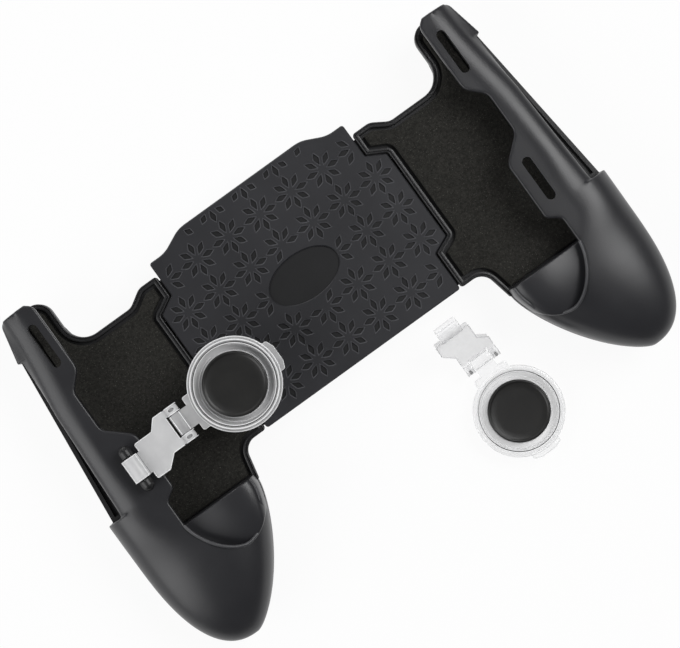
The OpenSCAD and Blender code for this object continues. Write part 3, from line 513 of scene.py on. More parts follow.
def softened(mesh, weights, rounds):
    """The mesh smoothed by a weight for each vertex."""
    obj = bpy.data.objects.new("softened", mesh)
    scene.collection.objects.link(obj)
    group = obj.vertex_groups.new(name="soft")
    levels = np.rint(10 * weights).astype(int)
    for k in range(1, 11):
        group.add(np.flatnonzero(levels == k).tolist(), k / 10, "REPLACE")
    m = obj.modifiers.new("soft", "SMOOTH")
    m.factor, m.iterations, m.vertex_group = 0.5, rounds, "soft"
    return baked(obj)


def joined(meshes):
    """Several meshes as one, each face keeping its mark."""
    bm = bmesh.new()
    for mesh in meshes:
        bm.from_mesh(mesh)
    out = bpy.data.meshes.new("joined")
    bm.to_mesh(out)
    bm.free()
    return out


def mirrored(mesh):
    """The mesh for the other hand."""
    out = mesh.copy()
    out.transform(Matrix.Scale(-1, 4, (1, 0, 0)))
    out.flip_normals()
    return out


def sided(mesh, side):
    """A copy of a right-hand mesh for a side."""
    return mesh.copy() if side == "right" else mirrored(mesh)


def piece(name, mesh, body, look, stands_for=(), place=None, smooth=None, ride=True, more=()):
    """A shown piece from a mesh in millimetres, whose faces may be marked for the further materials."""
    mesh.name = name
    if place is not None:
        mesh.transform(place)
    mesh.transform(Matrix.Scale(MM, 4))
    if smooth is not None:
        mesh.shade_smooth()
        mesh.set_sharp_from_angle(angle=math.radians(smooth))
    marks = [face.material_index for face in mesh.polygons]
    mesh.materials.clear()
    for each in (look, *more):
        mesh.materials.append(each)
    for face, mark in zip(mesh.polygons, marks):
        face.material_index = min(mark, len(more))
    obj = bpy.data.objects.new(name, mesh)
    scene.collection.objects.link(obj)
    if ride:
        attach(obj, body)
    if stands_for:
        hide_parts(*stands_for)
    return obj


# Materials
def material(name):
    m = bpy.data.materials.new(name)
    m.use_nodes = True
    tree = m.node_tree
    return m, tree, tree.nodes["Principled BSDF"]


def add(tree, kind, **settings):
    node = tree.nodes.new(kind)
    for key, value in settings.items():
        if key in node.inputs:
            node.inputs[key].default_value = value
        else:
            setattr(node, key, value)
    return node


def noise(tree, scale, detail=4.0, rough=0.6, kind="ShaderNodeTexNoise"):
    place = add(tree, "ShaderNodeTexCoord")
    node = add(tree, kind, Scale=scale)
    if kind == "ShaderNodeTexNoise":
        node.inputs["Detail"].default_value = detail
        node.inputs["Roughness"].default_value = rough
    tree.links.new(place.outputs["Object"], node.inputs["Vector"])
    return node


def ramp(tree, source, stops):
    node = add(tree, "ShaderNodeValToRGB")
    while len(node.color_ramp.elements) < len(stops):
        node.color_ramp.elements.new(0.5)
    for e, (at, colour) in zip(node.color_ramp.elements, stops):
        e.position = at
        e.color = (*colour, 1)
    tree.links.new(source, node.inputs["Fac"])
    return node.outputs["Color"]


def spanned(tree, source, low, high):
    node = add(tree, "ShaderNodeMapRange")
    node.inputs["To Min"].default_value = low
    node.inputs["To Max"].default_value = high
    tree.links.new(source, node.inputs["Value"])
    return node.outputs["Result"]


def bumped(tree, shader, source, strength, distance, under=None):
    node = add(tree, "ShaderNodeBump", Strength=strength, Distance=distance)
    tree.links.new(source, node.inputs["Height"])
    if under is not None:
        tree.links.new(under, node.inputs["Normal"])
    tree.links.new(node.outputs["Normal"], shader.inputs["Normal"])
    return node.outputs["Normal"]


def plastic(name, dark, light, rough, grain, bump, specular=0.5):
    """Moulded plastic with a fine spark-eroded grain and a slow drift of tone and gloss."""
    m, tree, shader = material(name)
    slow = noise(tree, 55, 3, 0.55)
    fine = noise(tree, grain, 5, 0.65)
    tree.links.new(ramp(tree, slow.outputs["Fac"], [(0.3, dark), (0.7, light)]), shader.inputs["Base Color"])
    tree.links.new(spanned(tree, slow.outputs["Fac"], rough - 0.05, rough + 0.05), shader.inputs["Roughness"])
    bumped(tree, shader, fine.outputs["Fac"], bump, 0.00012)
    shader.inputs["Specular IOR Level"].default_value = specular
    return m


SHELL = plastic("shell_plastic", (0.0175, 0.0176, 0.0200), (0.0220, 0.0221, 0.0248), 0.36, 2600, 0.16)
# A lighter plastic for the bead round the cut-out: a painted highlight along its edge
RIM_HIGHLIGHT = plastic("rim_painted_highlight", (0.0440, 0.0442, 0.0480), (0.0540, 0.0542, 0.0585), 0.40, 2600, 0.12)
FRAME = plastic("frame_plastic", (0.0110, 0.0110, 0.0120), (0.0150, 0.0150, 0.0160), 0.40, 2600, 0.16)


def foam_material():
    m, tree, shader = material("foam")
    cells = noise(tree, 2600, kind="ShaderNodeTexVoronoi")
    grain = noise(tree, 1500, 6, 0.7)
    fleck = noise(tree, 3400, 2, 0.5)
    tones = [(0.36, (0.0095, 0.0092, 0.0080)), (0.66, (0.0290, 0.0282, 0.0248))]
    base = ramp(tree, grain.outputs["Fac"], tones)
    spots = ramp(tree, fleck.outputs["Fac"], [(0.63, (0, 0, 0)), (0.76, (0.085, 0.083, 0.074))])
    mixer = add(tree, "ShaderNodeMix", data_type="RGBA", blend_type="ADD")
    mixer.inputs["Factor"].default_value = 1.0
    tree.links.new(base, mixer.inputs["A"])
    tree.links.new(spots, mixer.inputs["B"])
    tree.links.new(mixer.outputs["Result"], shader.inputs["Base Color"])
    under = bumped(tree, shader, cells.outputs["Distance"], 0.5, 0.0002)
    bumped(tree, shader, grain.outputs["Fac"], 0.45, 0.00025, under)
    tree.links.new(spanned(tree, grain.outputs["Fac"], 0.82, 1.0), shader.inputs["Roughness"])
    shader.inputs["Specular IOR Level"].default_value = 0.2
    return m


FOAM = foam_material()
SKIN = plastic("skin_rubber", (0.0172, 0.0174, 0.0200), (0.0218, 0.0220, 0.0254), 0.44, 1900, 0.20, 0.40)
# Darker skin for the floors of the sunk leaves, of the oval and of the base below them: painted shade in the
# recesses
POCKET_SHADE = plastic("skin_pocket_painted_shade", (0.0056, 0.0056, 0.0064), (0.0078, 0.0078, 0.0088), 0.50, 1900, 0.18, 0.36)
# Lighter skin for the leaves' sloping edges: a painted highlight
LEAF_RIM_HIGHLIGHT = plastic("leaf_rim_painted_highlight", (0.0620, 0.0624, 0.0680), (0.0760, 0.0764, 0.0830), 0.44, 1900, 0.10, 0.42)


def clear_material(name, thin, thick, rough):
    """Milky clear plastic that lets part of the light straight through, a little unevenly."""
    m, tree, shader = material(name)
    slow = noise(tree, 260, 3, 0.5)
    fine = noise(tree, 900, 3, 0.5)
    tones = [(0.3, (0.90, 0.90, 0.91)), (0.7, (0.96, 0.96, 0.965))]
    tree.links.new(ramp(tree, slow.outputs["Fac"], tones), shader.inputs["Base Color"])
    tree.links.new(spanned(tree, slow.outputs["Fac"], thin, thick), shader.inputs["Alpha"])
    tree.links.new(spanned(tree, fine.outputs["Fac"], rough - 0.04, rough + 0.04), shader.inputs["Roughness"])
    bumped(tree, shader, fine.outputs["Fac"], 0.06, 0.0002)
    shader.inputs["IOR"].default_value = 1.49
    return m


CLEAR = clear_material("clear_plastic", 0.34, 0.46, 0.12)
FROST = clear_material("frosted_plastic", 0.58, 0.68, 0.30)
WEB = clear_material("ring_web", 0.48, 0.56, 0.20)
THIN = clear_material("plastic_underside", 0.05, 0.10, 0.15)
# Nearly opaque white for the clear parts' edges and lines: a painted highlight
EDGE_HIGHLIGHT = clear_material("plastic_edge_painted_highlight", 0.86, 0.94, 0.12)
SLIT = plastic("slit_shade", (0.035, 0.035, 0.036), (0.050, 0.050, 0.051), 0.6, 2200, 0.05)
SEAT = plastic("pin_seat", (0.030, 0.030, 0.031), (0.045, 0.045, 0.046), 0.3, 2200, 0.05)
SEAT.node_tree.nodes["Principled BSDF"].inputs["Alpha"].default_value = 0.4


def pad_material():
    m, tree, shader = material("thumb_rubber")
    fine = noise(tree, 2200, 4, 0.6)
    slow = noise(tree, 160, 3, 0.55)
    tones = [(0.3, (0.0060, 0.0058, 0.0054)), (0.7, (0.0105, 0.0102, 0.0094))]
    tree.links.new(ramp(tree, slow.outputs["Fac"], tones), shader.inputs["Base Color"])
    tree.links.new(spanned(tree, fine.outputs["Fac"], 0.34, 0.46), shader.inputs["Roughness"])
    bumped(tree, shader, fine.outputs["Fac"], 0.12, 0.0001)
    return m


PAD = pad_material()
CONTACT = plastic("contact_rubber", (0.006, 0.006, 0.006), (0.010, 0.010, 0.010), 0.6, 1800, 0.2)
BAR = plastic("bar_plastic", (0.005, 0.005, 0.0055), (0.008, 0.008, 0.0085), 0.42, 2200, 0.05)


def steel_material():
    m, tree, shader = material("steel")
    fine = noise(tree, 1800, 3, 0.6)
    tones = [(0.3, (0.42, 0.43, 0.44)), (0.7, (0.55, 0.56, 0.57))]
    tree.links.new(ramp(tree, fine.outputs["Fac"], tones), shader.inputs["Base Color"])
    tree.links.new(spanned(tree, fine.outputs["Fac"], 0.22, 0.38), shader.inputs["Roughness"])
    bumped(tree, shader, fine.outputs["Fac"], 0.05, 0.0001)
    shader.inputs["Metallic"].default_value = 1.0
    return m


STEEL = steel_material()


# Hand grips: front shell, rear shell, tray and foam of each side
def front_shell():
    """Lip, rolled side, end block and hand grip as one moulding, with the cut-out and both slots."""
    ridge_ys = END_YS + spread(HANDLE_TOP - 5.2, WINDOW_Y + 0.1, 1.5)
    ridge_ys += [WINDOW_Y - 0.1] + spread(WINDOW_Y - 2, -26, 2.5)
    front_ys = spread(-SHOULDER_Y, -GRIP_Y + 1, 0.9) + GRIP_YS
    block = [(WALL_X, HANDLE_TOP), (WALL_X, WINDOW_Y), (frame_outer(WINDOW_Y) - BLOCK_IN, WINDOW_Y)]
    block += [(frame_outer(y) - BLOCK_IN, y) for y in END_YS[::-1]]
    adds = [
        loft([front_ring(y) for y in front_ys]),
        slab(rounded(lip_corners()), LIP_Z, LIP_TOP),
        slab(block, BED_Z, WINDOW_TOP + 0.4),
    ]
    cuts = [
        box(30, WALL_X, -STOP_Y, HANDLE_TOP + 5, 0, LIP_Z),
        slab([(LIP_FOOT_X, -29)] + cut_curve(0) + [(30, -41), (30, -29)], BED_Z - 0.5, RIDGE_TOP + 5),
    ]
    slots = [slab(slot_outline(x, y), LIP_Z - 0.8, LIP_TOP + 1) for x, y in SLOT_PLACES]
    shell = moulded(carve(loft([ridge_ring(y) for y in ridge_ys]), adds, cuts), 0.27, 5)
    return carve(softened(shell, soft_weights(shell), 70), (), slots)


def grip_bead():
    """The bead round the cut-out, which is shown lighter as a painted highlight, and which runs on beside the
    grip's inner edge.
    """
    path = []
    for x, y in cut_curve(-0.1):
        if x > front_inner(y) + BEAD_IN:
            path.append((x, y, front_top(x, y) + 0.1 + BEAD_LIFT * ease((-40 - y) / 4)))
    start, gap = path[-1][1], path[-1][2] - tongue_top(*path[-1][:2])
    for i in range(1, 31):
        y = mix(start, -34.0, i / 30)
        x = grip_inner(min(y, -GRIP_Y)) + BEAD_IN
        path.append((x, y, tongue_top(x, y) + mix(gap, BEAD_OVER, min(1, i / 10))))
    for _ in range(BEAD_ROUNDS):
        threes = zip(path, path[1:], path[2:])
        evened = [tuple((a + 2 * b + c) / 4 for a, b, c in zip(*three)) for three in threes]
        path = path[:1] + evened + path[-1:]
    return tube(path, BEAD_R)


def soft_weights(mesh):
    """One where the upper surface flows freely, and nought at its edges, slots and steps."""
    edges = open_run(lip_corners()[:9]) + cut_curve(0, 1)
    edges += [(LIP_FOOT_X, y) for y in spread(-26, -35, 0.5)] + [(x, WINDOW_Y) for x in spread(72.6, 77, 0.4)]
    edges += [(x, -SHOULDER_Y) for x in spread(76, 83, 0.4)] + [(x, HANDLE_TOP) for x in spread(62, 76, 0.5)]
    for (x0, y0, _), (x1, y1, _) in zip(lip_corners()[1:8], lip_corners()[2:9]):
        n = max(2, round(math.hypot(x1 - x0, y1 - y0) / 0.5))
        edges += [(mix(x0, x1, i / n), mix(y0, y1, i / n)) for i in range(1, n)]
    tree = KDTree(len(edges))
    for i, (x, y) in enumerate(edges):
        tree.insert((x, y, 0), i)
    tree.balance()
    points = np.empty(3 * len(mesh.vertices))
    mesh.vertices.foreach_get("co", points)
    points = points.reshape(-1, 3)
    near = np.array([tree.find((x, y, 0))[2] if z > 20 else 0.0 for x, y, z in points])
    return np.clip((near - 0.5) / 1.2, 0, 1) * np.clip((points[:, 2] - 20) / 1.5, 0, 1)


def rear_shell():
    """The palm side of the hand grip, with seats for its screws."""
    ys = END_YS + spread(HANDLE_TOP - 5.5, -SHOULDER_Y + 0.1, 2)
    ys += spread(-SHOULDER_Y - 0.1, -GRIP_Y + 1, 1.2) + GRIP_YS
    cuts = [disc(x, y, 2.05, -0.5, TRAY_Z - 1.8) for x, y in GRIP_SCREWS]
    return moulded(carve(loft([rear_ring(y) for y in ys]), (), cuts), 0.3, 5)


def tray():
    """Bed with its rim, the tongue, whose faces are marked 1, and the two rails with their bridge."""
    low, top = 1 - SHOULDER_Y, WINDOW_Y - 1
    groove = [(71, top), (71, low), (frame_outer(low) - 1.2, low), (frame_outer(top) - 1.2, top)]
    cuts = [
        slab(rounded(inset(bed_corners(), -0.02)), BED_Z - 1.6, BED_Z + 0.5),
        slab(groove, BED_Z - 1.4, BED_Z + 0.5),
    ]
    plate = carve(slab(tray_outline(), TRAY_Z, BED_Z), (), cuts)
    section = [
        (0, -1.7), (0, -0.26), (0.08, -0.08), (0.24, 0), (0.36, 0), (0.44, -0.07), (0.46, -0.34),
        (0.66, -0.34), (0.68, -0.08), (0.76, 0), (1.14, 0), (1.32, -0.08), (1.4, -0.26), (1.4, -1.7),
    ]
    edge = sweep(bed_corners(), [(d, BED_Z + z) for d, z in section])
    keep = slab(cut_curve(-0.4) + [(30, -41), (30, -STOP_Y)], BED_Z - 2, RIDGE_TOP + 0.5)
    tongue = loft([tongue_ring(y) for y in spread(-33.2, -49, 0.5)])
    tongue = moulded(carve(tongue, keep=keep), 0.25, 4)
    for face in tongue.polygons:
        face.material_index = 1
    rails = []
    rail_ys = (RAIL_MID + RAIL_SPAN / 2, RAIL_MID - RAIL_SPAN / 2)
    for y in rail_ys:
        y0, y1 = y - RAIL_HALF, y + RAIL_HALF
        rails.append(box(RAIL_IN, RAIL_OUT, y0, y1, TRAY_Z - 3.4, TRAY_Z - 0.1))
        rails.append(box(37.95, RAIL_OUT, y0, y1, TRAY_Z - 0.3, TRAY_Z + 0.6))
    rails.append(box(14.5, 17.5, rail_ys[1], rail_ys[0], TRAY_Z - 3.4, TRAY_Z - 0.1))
    rails.append(disc(RAIL_POST, RAIL_MID, 0.9, 2.7, TRAY_Z - 3))
    return joined([plate, edge, tongue, bevelled(joined(rails), 0.2)])


def foam_pad():
    """The pad inside the tray's rim, with a soft upper edge."""
    profile = [(2.3, -1.6), (2.3, 0.05), (2.35, 0.22), (2.47, 0.34), (2.65, 0.4)]
    return loft([[(x, y, BED_Z + z) for x, y in rounded(inset(bed_corners(), d))] for d, z in profile])


bead = grip_bead()
shells = {"front_shell": front_shell(), "rear_shell": rear_shell(), "tray": tray(), "foam_pad": foam_pad()}
finish = {
    "front_shell": (SHELL, "shell", 60),
    "rear_shell": (SHELL, "shell", 60),
    "tray": (FRAME, "frame", 40),
    "foam_pad": (FOAM, "foam", 50),
}
for side in ("right", "left"):
    for part, mesh in shells.items():
        look, slot, smooth = finish[part]
        obj = piece(
            f"{side}_{part}_finish", sided(mesh, side), f"{side}_handle", look, [f"{side}_{part}"],
            smooth=smooth, more=(SHELL,) if part == "tray" else (),
        )
    # The bead's lighter plastic is a painted highlight
    piece(f"{side}_grip_rim", sided(bead, side), f"{side}_handle", RIM_HIGHLIGHT, smooth=60)


# Centre section: the skin with its sunk leaf rosettes and the bare oval place
def leaf(x, y, turn, near):
    """One leaf's outline, near being how far from the rosette's middle it starts."""
    points = []
    for side in (1, -1):
        for i in range(9):
            t = i / 9
            t = t if side > 0 else 1 - t
            w = LEAF_WIDTH / 2 * min(t / 0.54, (1 - t) / 0.46) ** 0.78
            points.append((mix(near, LEAF_FAR, t), side * w))
    c, s = math.cos(turn), math.sin(turn)
    return [(x + c * u - s * v, y + s * u + c * v) for u, v in points]


def inside(points, p):
    """Whether p lies inside an outline."""
    hit = False
    for (x0, y0), (x1, y1) in zip(points, points[1:] + points[:1]):
        if (y0 > p[1]) != (y1 > p[1]) and p[0] < (x1 - x0) * (p[1] - y0) / (y1 - y0) + x0:
            hit = not hit
    return hit


def in_oval(x, y, a, b):
    """Whether a point lies in an oval of half-lengths a and b round the bare place's middle."""
    return (x / a) ** 2 + ((y - OVAL_MID) / b) ** 2 <= 1


def skin_leaves():
    """The leaves of all rosettes that lie inside the plate and off the oval; some at the top are shorter."""
    room = rounded(inset(plate_corners(), 0.9))
    leaves = []
    for i in range(-3, 4):
        for j in range(-3, 5):
            for k in range(8):
                near = LEAF_NEAR_TOP if j == 3 and k in (5, 7) else LEAF_NEAR
                turn = math.radians(45 * k - 4)
                points = leaf(LEAF_STEP_X * i, OVAL_MID + LEAF_STEP_Y * j, turn, near)
                clear = not any(in_oval(x, y, 11.5, 7.1) for x, y in points)
                if clear and all(inside(room, p) for p in points):
                    leaves.append(points)
    return leaves


def centre_skin():
    """The skin's pierced top, where leaves and oval are open, over its plain base."""
    curve = bpy.data.curves.new("skin_top", "CURVE")
    curve.dimensions = "2D"
    curve.fill_mode = "BOTH"
    curve.extrude = SKIN_HALF
    curve.bevel_depth = SKIN_BEVEL
    curve.bevel_resolution = 0
    curve.offset = -SKIN_BEVEL
    oval = [(OVAL_X * c, OVAL_MID + OVAL_Y * s) for c, s in circle(72)]
    for points in [rounded(plate_corners()), oval[::-1]] + [p[::-1] for p in skin_leaves()]:
        spline = curve.splines.new("POLY")
        spline.points.add(len(points) - 1)
        for p, (x, y) in zip(spline.points, points):
            p.co = (x, y, 0, 1)
        spline.use_cyclic_u = True
    obj = bpy.data.objects.new("skin_top", curve)
    scene.collection.objects.link(obj)
    top = baked(obj)
    top.transform(Matrix.Translation((0, 0, SKIN_TOP - (SKIN_HALF + SKIN_BEVEL))))
    base = slab(rounded(inset(plate_corners(), 0.05)), SKIN_Z, SKIN_TOP - 0.62)
    both = joined([top, base])
    bm = bmesh.new()
    bm.from_mesh(both)
    bmesh.ops.remove_doubles(bm, verts=bm.verts, dist=1e-4)
    bm.to_mesh(both)
    bm.free()
    return both


skin = piece(
    "centre_skin_finish", centre_skin(), "centre", SKIN, ["centre_skin"],
    smooth=35, more=(POCKET_SHADE, LEAF_RIM_HIGHLIGHT),
)
# The skin's faces are marked for painted shade on the pocket floors and a painted highlight on the leaves'
# sloping edges
field = rounded(inset(plate_corners(), 0.3))
for face in skin.data.polygons:
    x, y, z = face.center / MM
    if face.normal.z > 0.9:
        # Floors below the top face get the painted shade of the pockets
        face.material_index = int(z < SKIN_TOP - 0.5)
    # Sloping edges of the leaves get the painted highlight
    elif face.normal.z > 0.2 and inside(field, (x, y)) and not in_oval(x, y, 11.2, 6.8):
        face.material_index = 2


# Screws with a cross recess
def screw(seat, length):
    """A pan head that faces down, with a cross recess, on a plain shank."""
    head = lathe([
        (AXIS_R, seat - 1.4), (1.2, seat - 1.4), (1.6, seat - 1.28), (1.82, seat - 0.95), (1.9, seat - 0.5),
        (1.9, seat), (1.0, seat), (1.0, seat + length - 0.4), (0.5, seat + length), (AXIS_R, seat + length),
    ], 48)
    low, high = seat - 2, seat - 0.65
    cross = [box(-1.1, 1.1, -0.22, 0.22, low, high), box(-0.22, 0.22, -1.1, 1.1, low, high)]
    return carve(head, (), cross)


def screw_set(places, seat, length):
    one = screw(seat, length)
    meshes = []
    for x, y in places:
        turned = one.copy()
        turned.transform(Matrix.Translation((x, y, 0)) @ Matrix.Rotation(0.35 * x + 0.2 * y, 4, "Z"))
        meshes.append(turned)
    return joined(meshes)


for name, body, places, seat, length in (
    ("centre_screws", "centre", COVER_SCREWS, 2, 8.2),
    ("right_grip_screws", "right_handle", GRIP_SCREWS, 7, 10.5),
    ("left_grip_screws", "left_handle", [(-x, y) for x, y in GRIP_SCREWS], 7, 10.5),
):
    piece(f"{name}_finish", screw_set(places, seat, length), body, STEEL, [name], smooth=30)


# Return springs, drawn at rest; on the device they stretch as the handles slide out
def spring():
    """The right-hand spring, with a loop at each end."""
    loop, turns, coil = 1.3, 9, 1.5
    pitch = (14 - 4.8) / turns
    near = [math.radians(a) for a in range(-30, -331, -10)]
    far = [math.radians(a) for a in range(150, -151, -10)]
    path = [(FIXED_POST + loop * math.cos(a), loop * math.sin(a), 0) for a in near]
    path.append((3.9, 1.1, 0))
    for i in range(turns * 24 + 1):
        a = math.radians(15 * i)
        path.append((4.4 + pitch * i / 24, coil * math.cos(a), coil * math.sin(a)))
    path.append((14.1, 1.1, 0))
    path += [(RAIL_POST + loop * math.cos(a), loop * math.sin(a), 0) for a in far]
    mesh = tube(path, 0.25)
    mesh.transform(Matrix.Translation((0, RAIL_MID, SPRING_Z)))
    return mesh


wire = spring()
for side, sign in (("right", 1), ("left", -1)):
    obj = piece(
        f"{side}_spring_finish", sided(wire, side), "centre", STEEL, [f"{side}_spring"],
        smooth=60, ride=False,
    )
    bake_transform(obj)


# Nodes that keep their solids and get softened edges and a finish
def dress(name, look, width, more=()):
    """A finish for a node, more being the materials of its bevelled edges, used here for a painted highlight,
    and of its sides and underside.
    """
    obj = nodes[name]
    obj.data.materials.clear()
    for part in (look, *more):
        obj.data.materials.append(part)
    for face in obj.data.polygons:
        face.material_index = 2 if more and (obj.matrix_world.to_3x3() @ face.normal).z < 0.2 else 0
    obj.data.shade_smooth()
    weld = obj.modifiers.new("weld", "WELD")
    weld.merge_threshold = 1e-6
    bevel = obj.modifiers.new("edges", "BEVEL")
    bevel.width = width * MM
    bevel.segments = 2
    bevel.limit_method = "ANGLE"
    bevel.angle_limit = math.radians(35)
    bevel.harden_normals = True
    # Bevelled edges take the painted highlight material when there is one
    bevel.material = 1 if more else -1
    even = obj.modifiers.new("normals", "WEIGHTED_NORMAL")
    even.keep_sharp = True


dress("centre_front_cover", FRAME, 0.15)
dress("centre_back_cover", FRAME, 0.25)
for side in ("left", "right"):
    dress(f"{side}_stick_clip", FROST, 0.26, more=(EDGE_HIGHLIGHT, THIN))
    dress(f"{side}_stick_carrier", CLEAR, 0.2, more=(EDGE_HIGHLIGHT, THIN))
    dress(f"{side}_stick_contact", CONTACT, 0.12)


# Joysticks: ring with its hinge, thumb pad, pin seats, and the bar that the hook holds
def placed(side):
    """Where a joystick's own drawing goes."""
    if side == "left":
        return Matrix.Translation(CLIPPED_AT)
    return (
        Matrix.Translation(LOOSE_AT)
        @ Matrix.Rotation(math.radians(LOOSE_TURN), 4, "Z")
        @ Matrix.Translation((-STICK_X, -STICK_Y, 0))
    )


def rod(x, y, z, r, length):
    """A round bar along Y about a point."""
    mesh = disc(0, 0, r, -length / 2, length / 2)
    mesh.transform(Matrix.Translation((x, y, z)) @ Matrix.Rotation(math.pi / 2, 4, "X"))
    return mesh


def stick_ring():
    """Ring with web, groove, bracket, tab and hinge barrel, its faces marked for RING_LOOKS."""
    section = [
        (12.7, -2.9), (12.7, -0.1), (12.62, 0.14), (12.44, 0.26), (12.05, 0.3), (11.98, 0.7), (11.86, 0.92),
        (11.6, 0.92), (11.48, 0.72), (11.42, 0.3), (11.22, 0.3), (11.2, -1.6), (11.0, -1.6), (10.98, 0.34),
        (10.88, 0.34), (10.74, 0.2), (10.68, -0.1), (10.74, -0.5), (10.9, -0.72), (10.9, -2.75),
        (6.9, -2.75), (6.9, -3.3), (10.9, -3.35), (10.95, -4.0), (11.2, -4.2), (12.2, -4.2), (12.2, -3.3),
    ]
    bracket = [(-13.6, -5.2, 0.6), (-13.6, 5.2, 0.6), (-10.7, 5.2, 0.1), (-10.7, -5.2, 0.1)]
    tab = [
        (10.7, -4.4, 0.1), (13.1, -4.4, 0.5), (14.0, -2.2, 0.8),
        (14.0, 2.2, 0.8), (13.1, 4.4, 0.5), (10.7, 4.4, 0.1),
    ]
    bore = disc(0, 0, 12.1, -5, 2, 128)
    adds = [
        carve(bevelled(slab(rounded(bracket), -2.3, 0.2), 0.22), (), [bore.copy()]),
        carve(bevelled(slab(rounded(tab), -1.9, -0.1), 0.22), (), [bore]),
        box(BARREL_X, -13.0, -2.9, 2.9, -2.3, 0.2),
        bevelled(rod(BARREL_X, 0, HINGE_Z, BARREL_R, 5.8), 0.2),
        rod(BARREL_X, 0, HINGE_Z, 0.9, 9.0),
    ]
    ring = carve(lathe(section, 128), adds)
    for face in ring.polygons:
        face.material_index = ring_mark(*face.center, face.normal.z)
    return ring


def ring_mark(x, y, z, up):
    """The place of a face's material in RING_LOOKS, from where the face lies and how it slopes: lines and rim
    slopes get a painted highlight, the groove painted shade.
    """
    r = math.hypot(x, y)
    outer_line = r > 12.4 and z > -0.12
    wall_line = 11.46 < r < 12.0 and z > 0.32
    inner_line = r < 10.98 and -0.72 < z < 0.35
    on_line = (outer_line or wall_line or inner_line) and r < 12.75 and up > 0.05
    on_rim = 0.2 < abs(up) < 0.97 and r > 12.75 and x > -13.65
    if r < 10.8 and -2.8 < z < -2.7:
        return RING_LOOKS.index(WEB)
    if 10.99 <= r <= 11.21 and -1.65 < z < 0.29:
        return RING_LOOKS.index(SLIT)
    if on_line or on_rim:
        return RING_LOOKS.index(EDGE_HIGHLIGHT)
    return RING_LOOKS.index(THIN if up < 0.3 else CLEAR)


def clip_lines():
    """Lines of painted highlight along the clip's rims, and across its hook."""
    runs = [
        [(3.1, 3.3, 0.1), (3.1, 5.4, 0.5), (8.7, 5.4, 0.5), (11.1, 8.2, 0.5), (13.9, 8.2, 0.1)],
        [(3.1, -3.3, 0.1), (3.1, -5.4, 0.5), (7.1, -5.4, 0.5), (10.4, -2.4, 0.5), (13.9, -2.4, 0.1)],
    ]
    flat = [[run[0][:2]] + open_run(run) + [run[-1][:2]] for run in runs]
    flat.append([(13.8, -0.3), (13.8, 6.1)])
    paths = [[(x, y, -0.5) for x, y in path] for path in flat]
    over_ear = [math.radians(a) for a in range(170, -1, -10)]
    for y in (-2.4, -0.3, 6.1, 8.2):
        paths.append([(HINGE_X + 1.8 * math.cos(a), y, HINGE_Z + 1.8 * math.sin(a)) for a in over_ear])
    over_hook = [math.radians(a) for a in range(165, 24, -10)]
    for y in (-3.25, 3.25):
        paths.append([(2.4 * math.cos(a), y, 2.4 * math.sin(a)) for a in over_hook])
    for a in (math.radians(150), math.radians(35)):
        paths.append([(2.4 * math.cos(a), y, 2.4 * math.sin(a)) for y in (-3.2, 3.2)])
    return joined([tube(path, LINE_R, 10) for path in paths])


def barrel_lines():
    """Lines of painted highlight along the hinge barrel."""
    paths = []
    for x in (-1.35, 1.35):
        z = HINGE_Z + math.sqrt(BARREL_R ** 2 - x * x)
        paths.append([(BARREL_X + x, y, z) for y in (-2.8, 2.8)])
    return joined([tube(path, LINE_R, 10) for path in paths])


def thumb_pad():
    """A slightly dished pad with a rounded rim."""
    section = [
        (AXIS_R, 0.0), (8.7, 0.0), (8.7, 0.95), (8.64, 1.2), (8.48, 1.36), (8.25, 1.4), (8.02, 1.33),
        (7.84, 1.18), (7.6, 1.1), (6.0, 1.05), (4.0, 1.01), (2.0, 0.99), (AXIS_R, 0.98),
    ]
    return lathe([(r, z - 0.9) for r, z in section], 128)


def pin_seats():
    """The dimples over the hinge pins."""
    section = [(AXIS_R, -0.1), (0.3, -0.09), (0.5, -0.02), (0.5, 0.0), (0.3, 0.02), (AXIS_R, 0.02)]
    seats = []
    for y in (-4.25, 4.25):
        seat = lathe(section, 32)
        seat.transform(Matrix.Translation((HINGE_X, STICK_Y + y, 1.1)) @ Matrix.Diagonal((1.7, 0.9, 1, 1)))
        seats.append(seat)
    return joined(seats)


def clip_bar():
    """The rod in the slot, with a domed end and a foot at each side."""
    ends, r, reach = [], 1.72, 5.2
    for side in (-1, 1):
        ball = [(r * math.cos(a), reach + r * math.sin(a)) for a in (math.pi / 2 * k / 12 for k in range(12))]
        cap = lathe([(AXIS_R, 3.6), (r - 0.2, 3.6), (r, 3.8)] + ball + [(AXIS_R, reach + r)], 64)
        cap.transform(Matrix.Rotation(-side * math.pi / 2, 4, "X"))
        ends += [cap, disc(0, side * reach, 1.24, -5.1, 0, 48)]
    return moulded(carve(rod(0, 0, 0, 1.35, 10.0), ends), 0.12, 5)


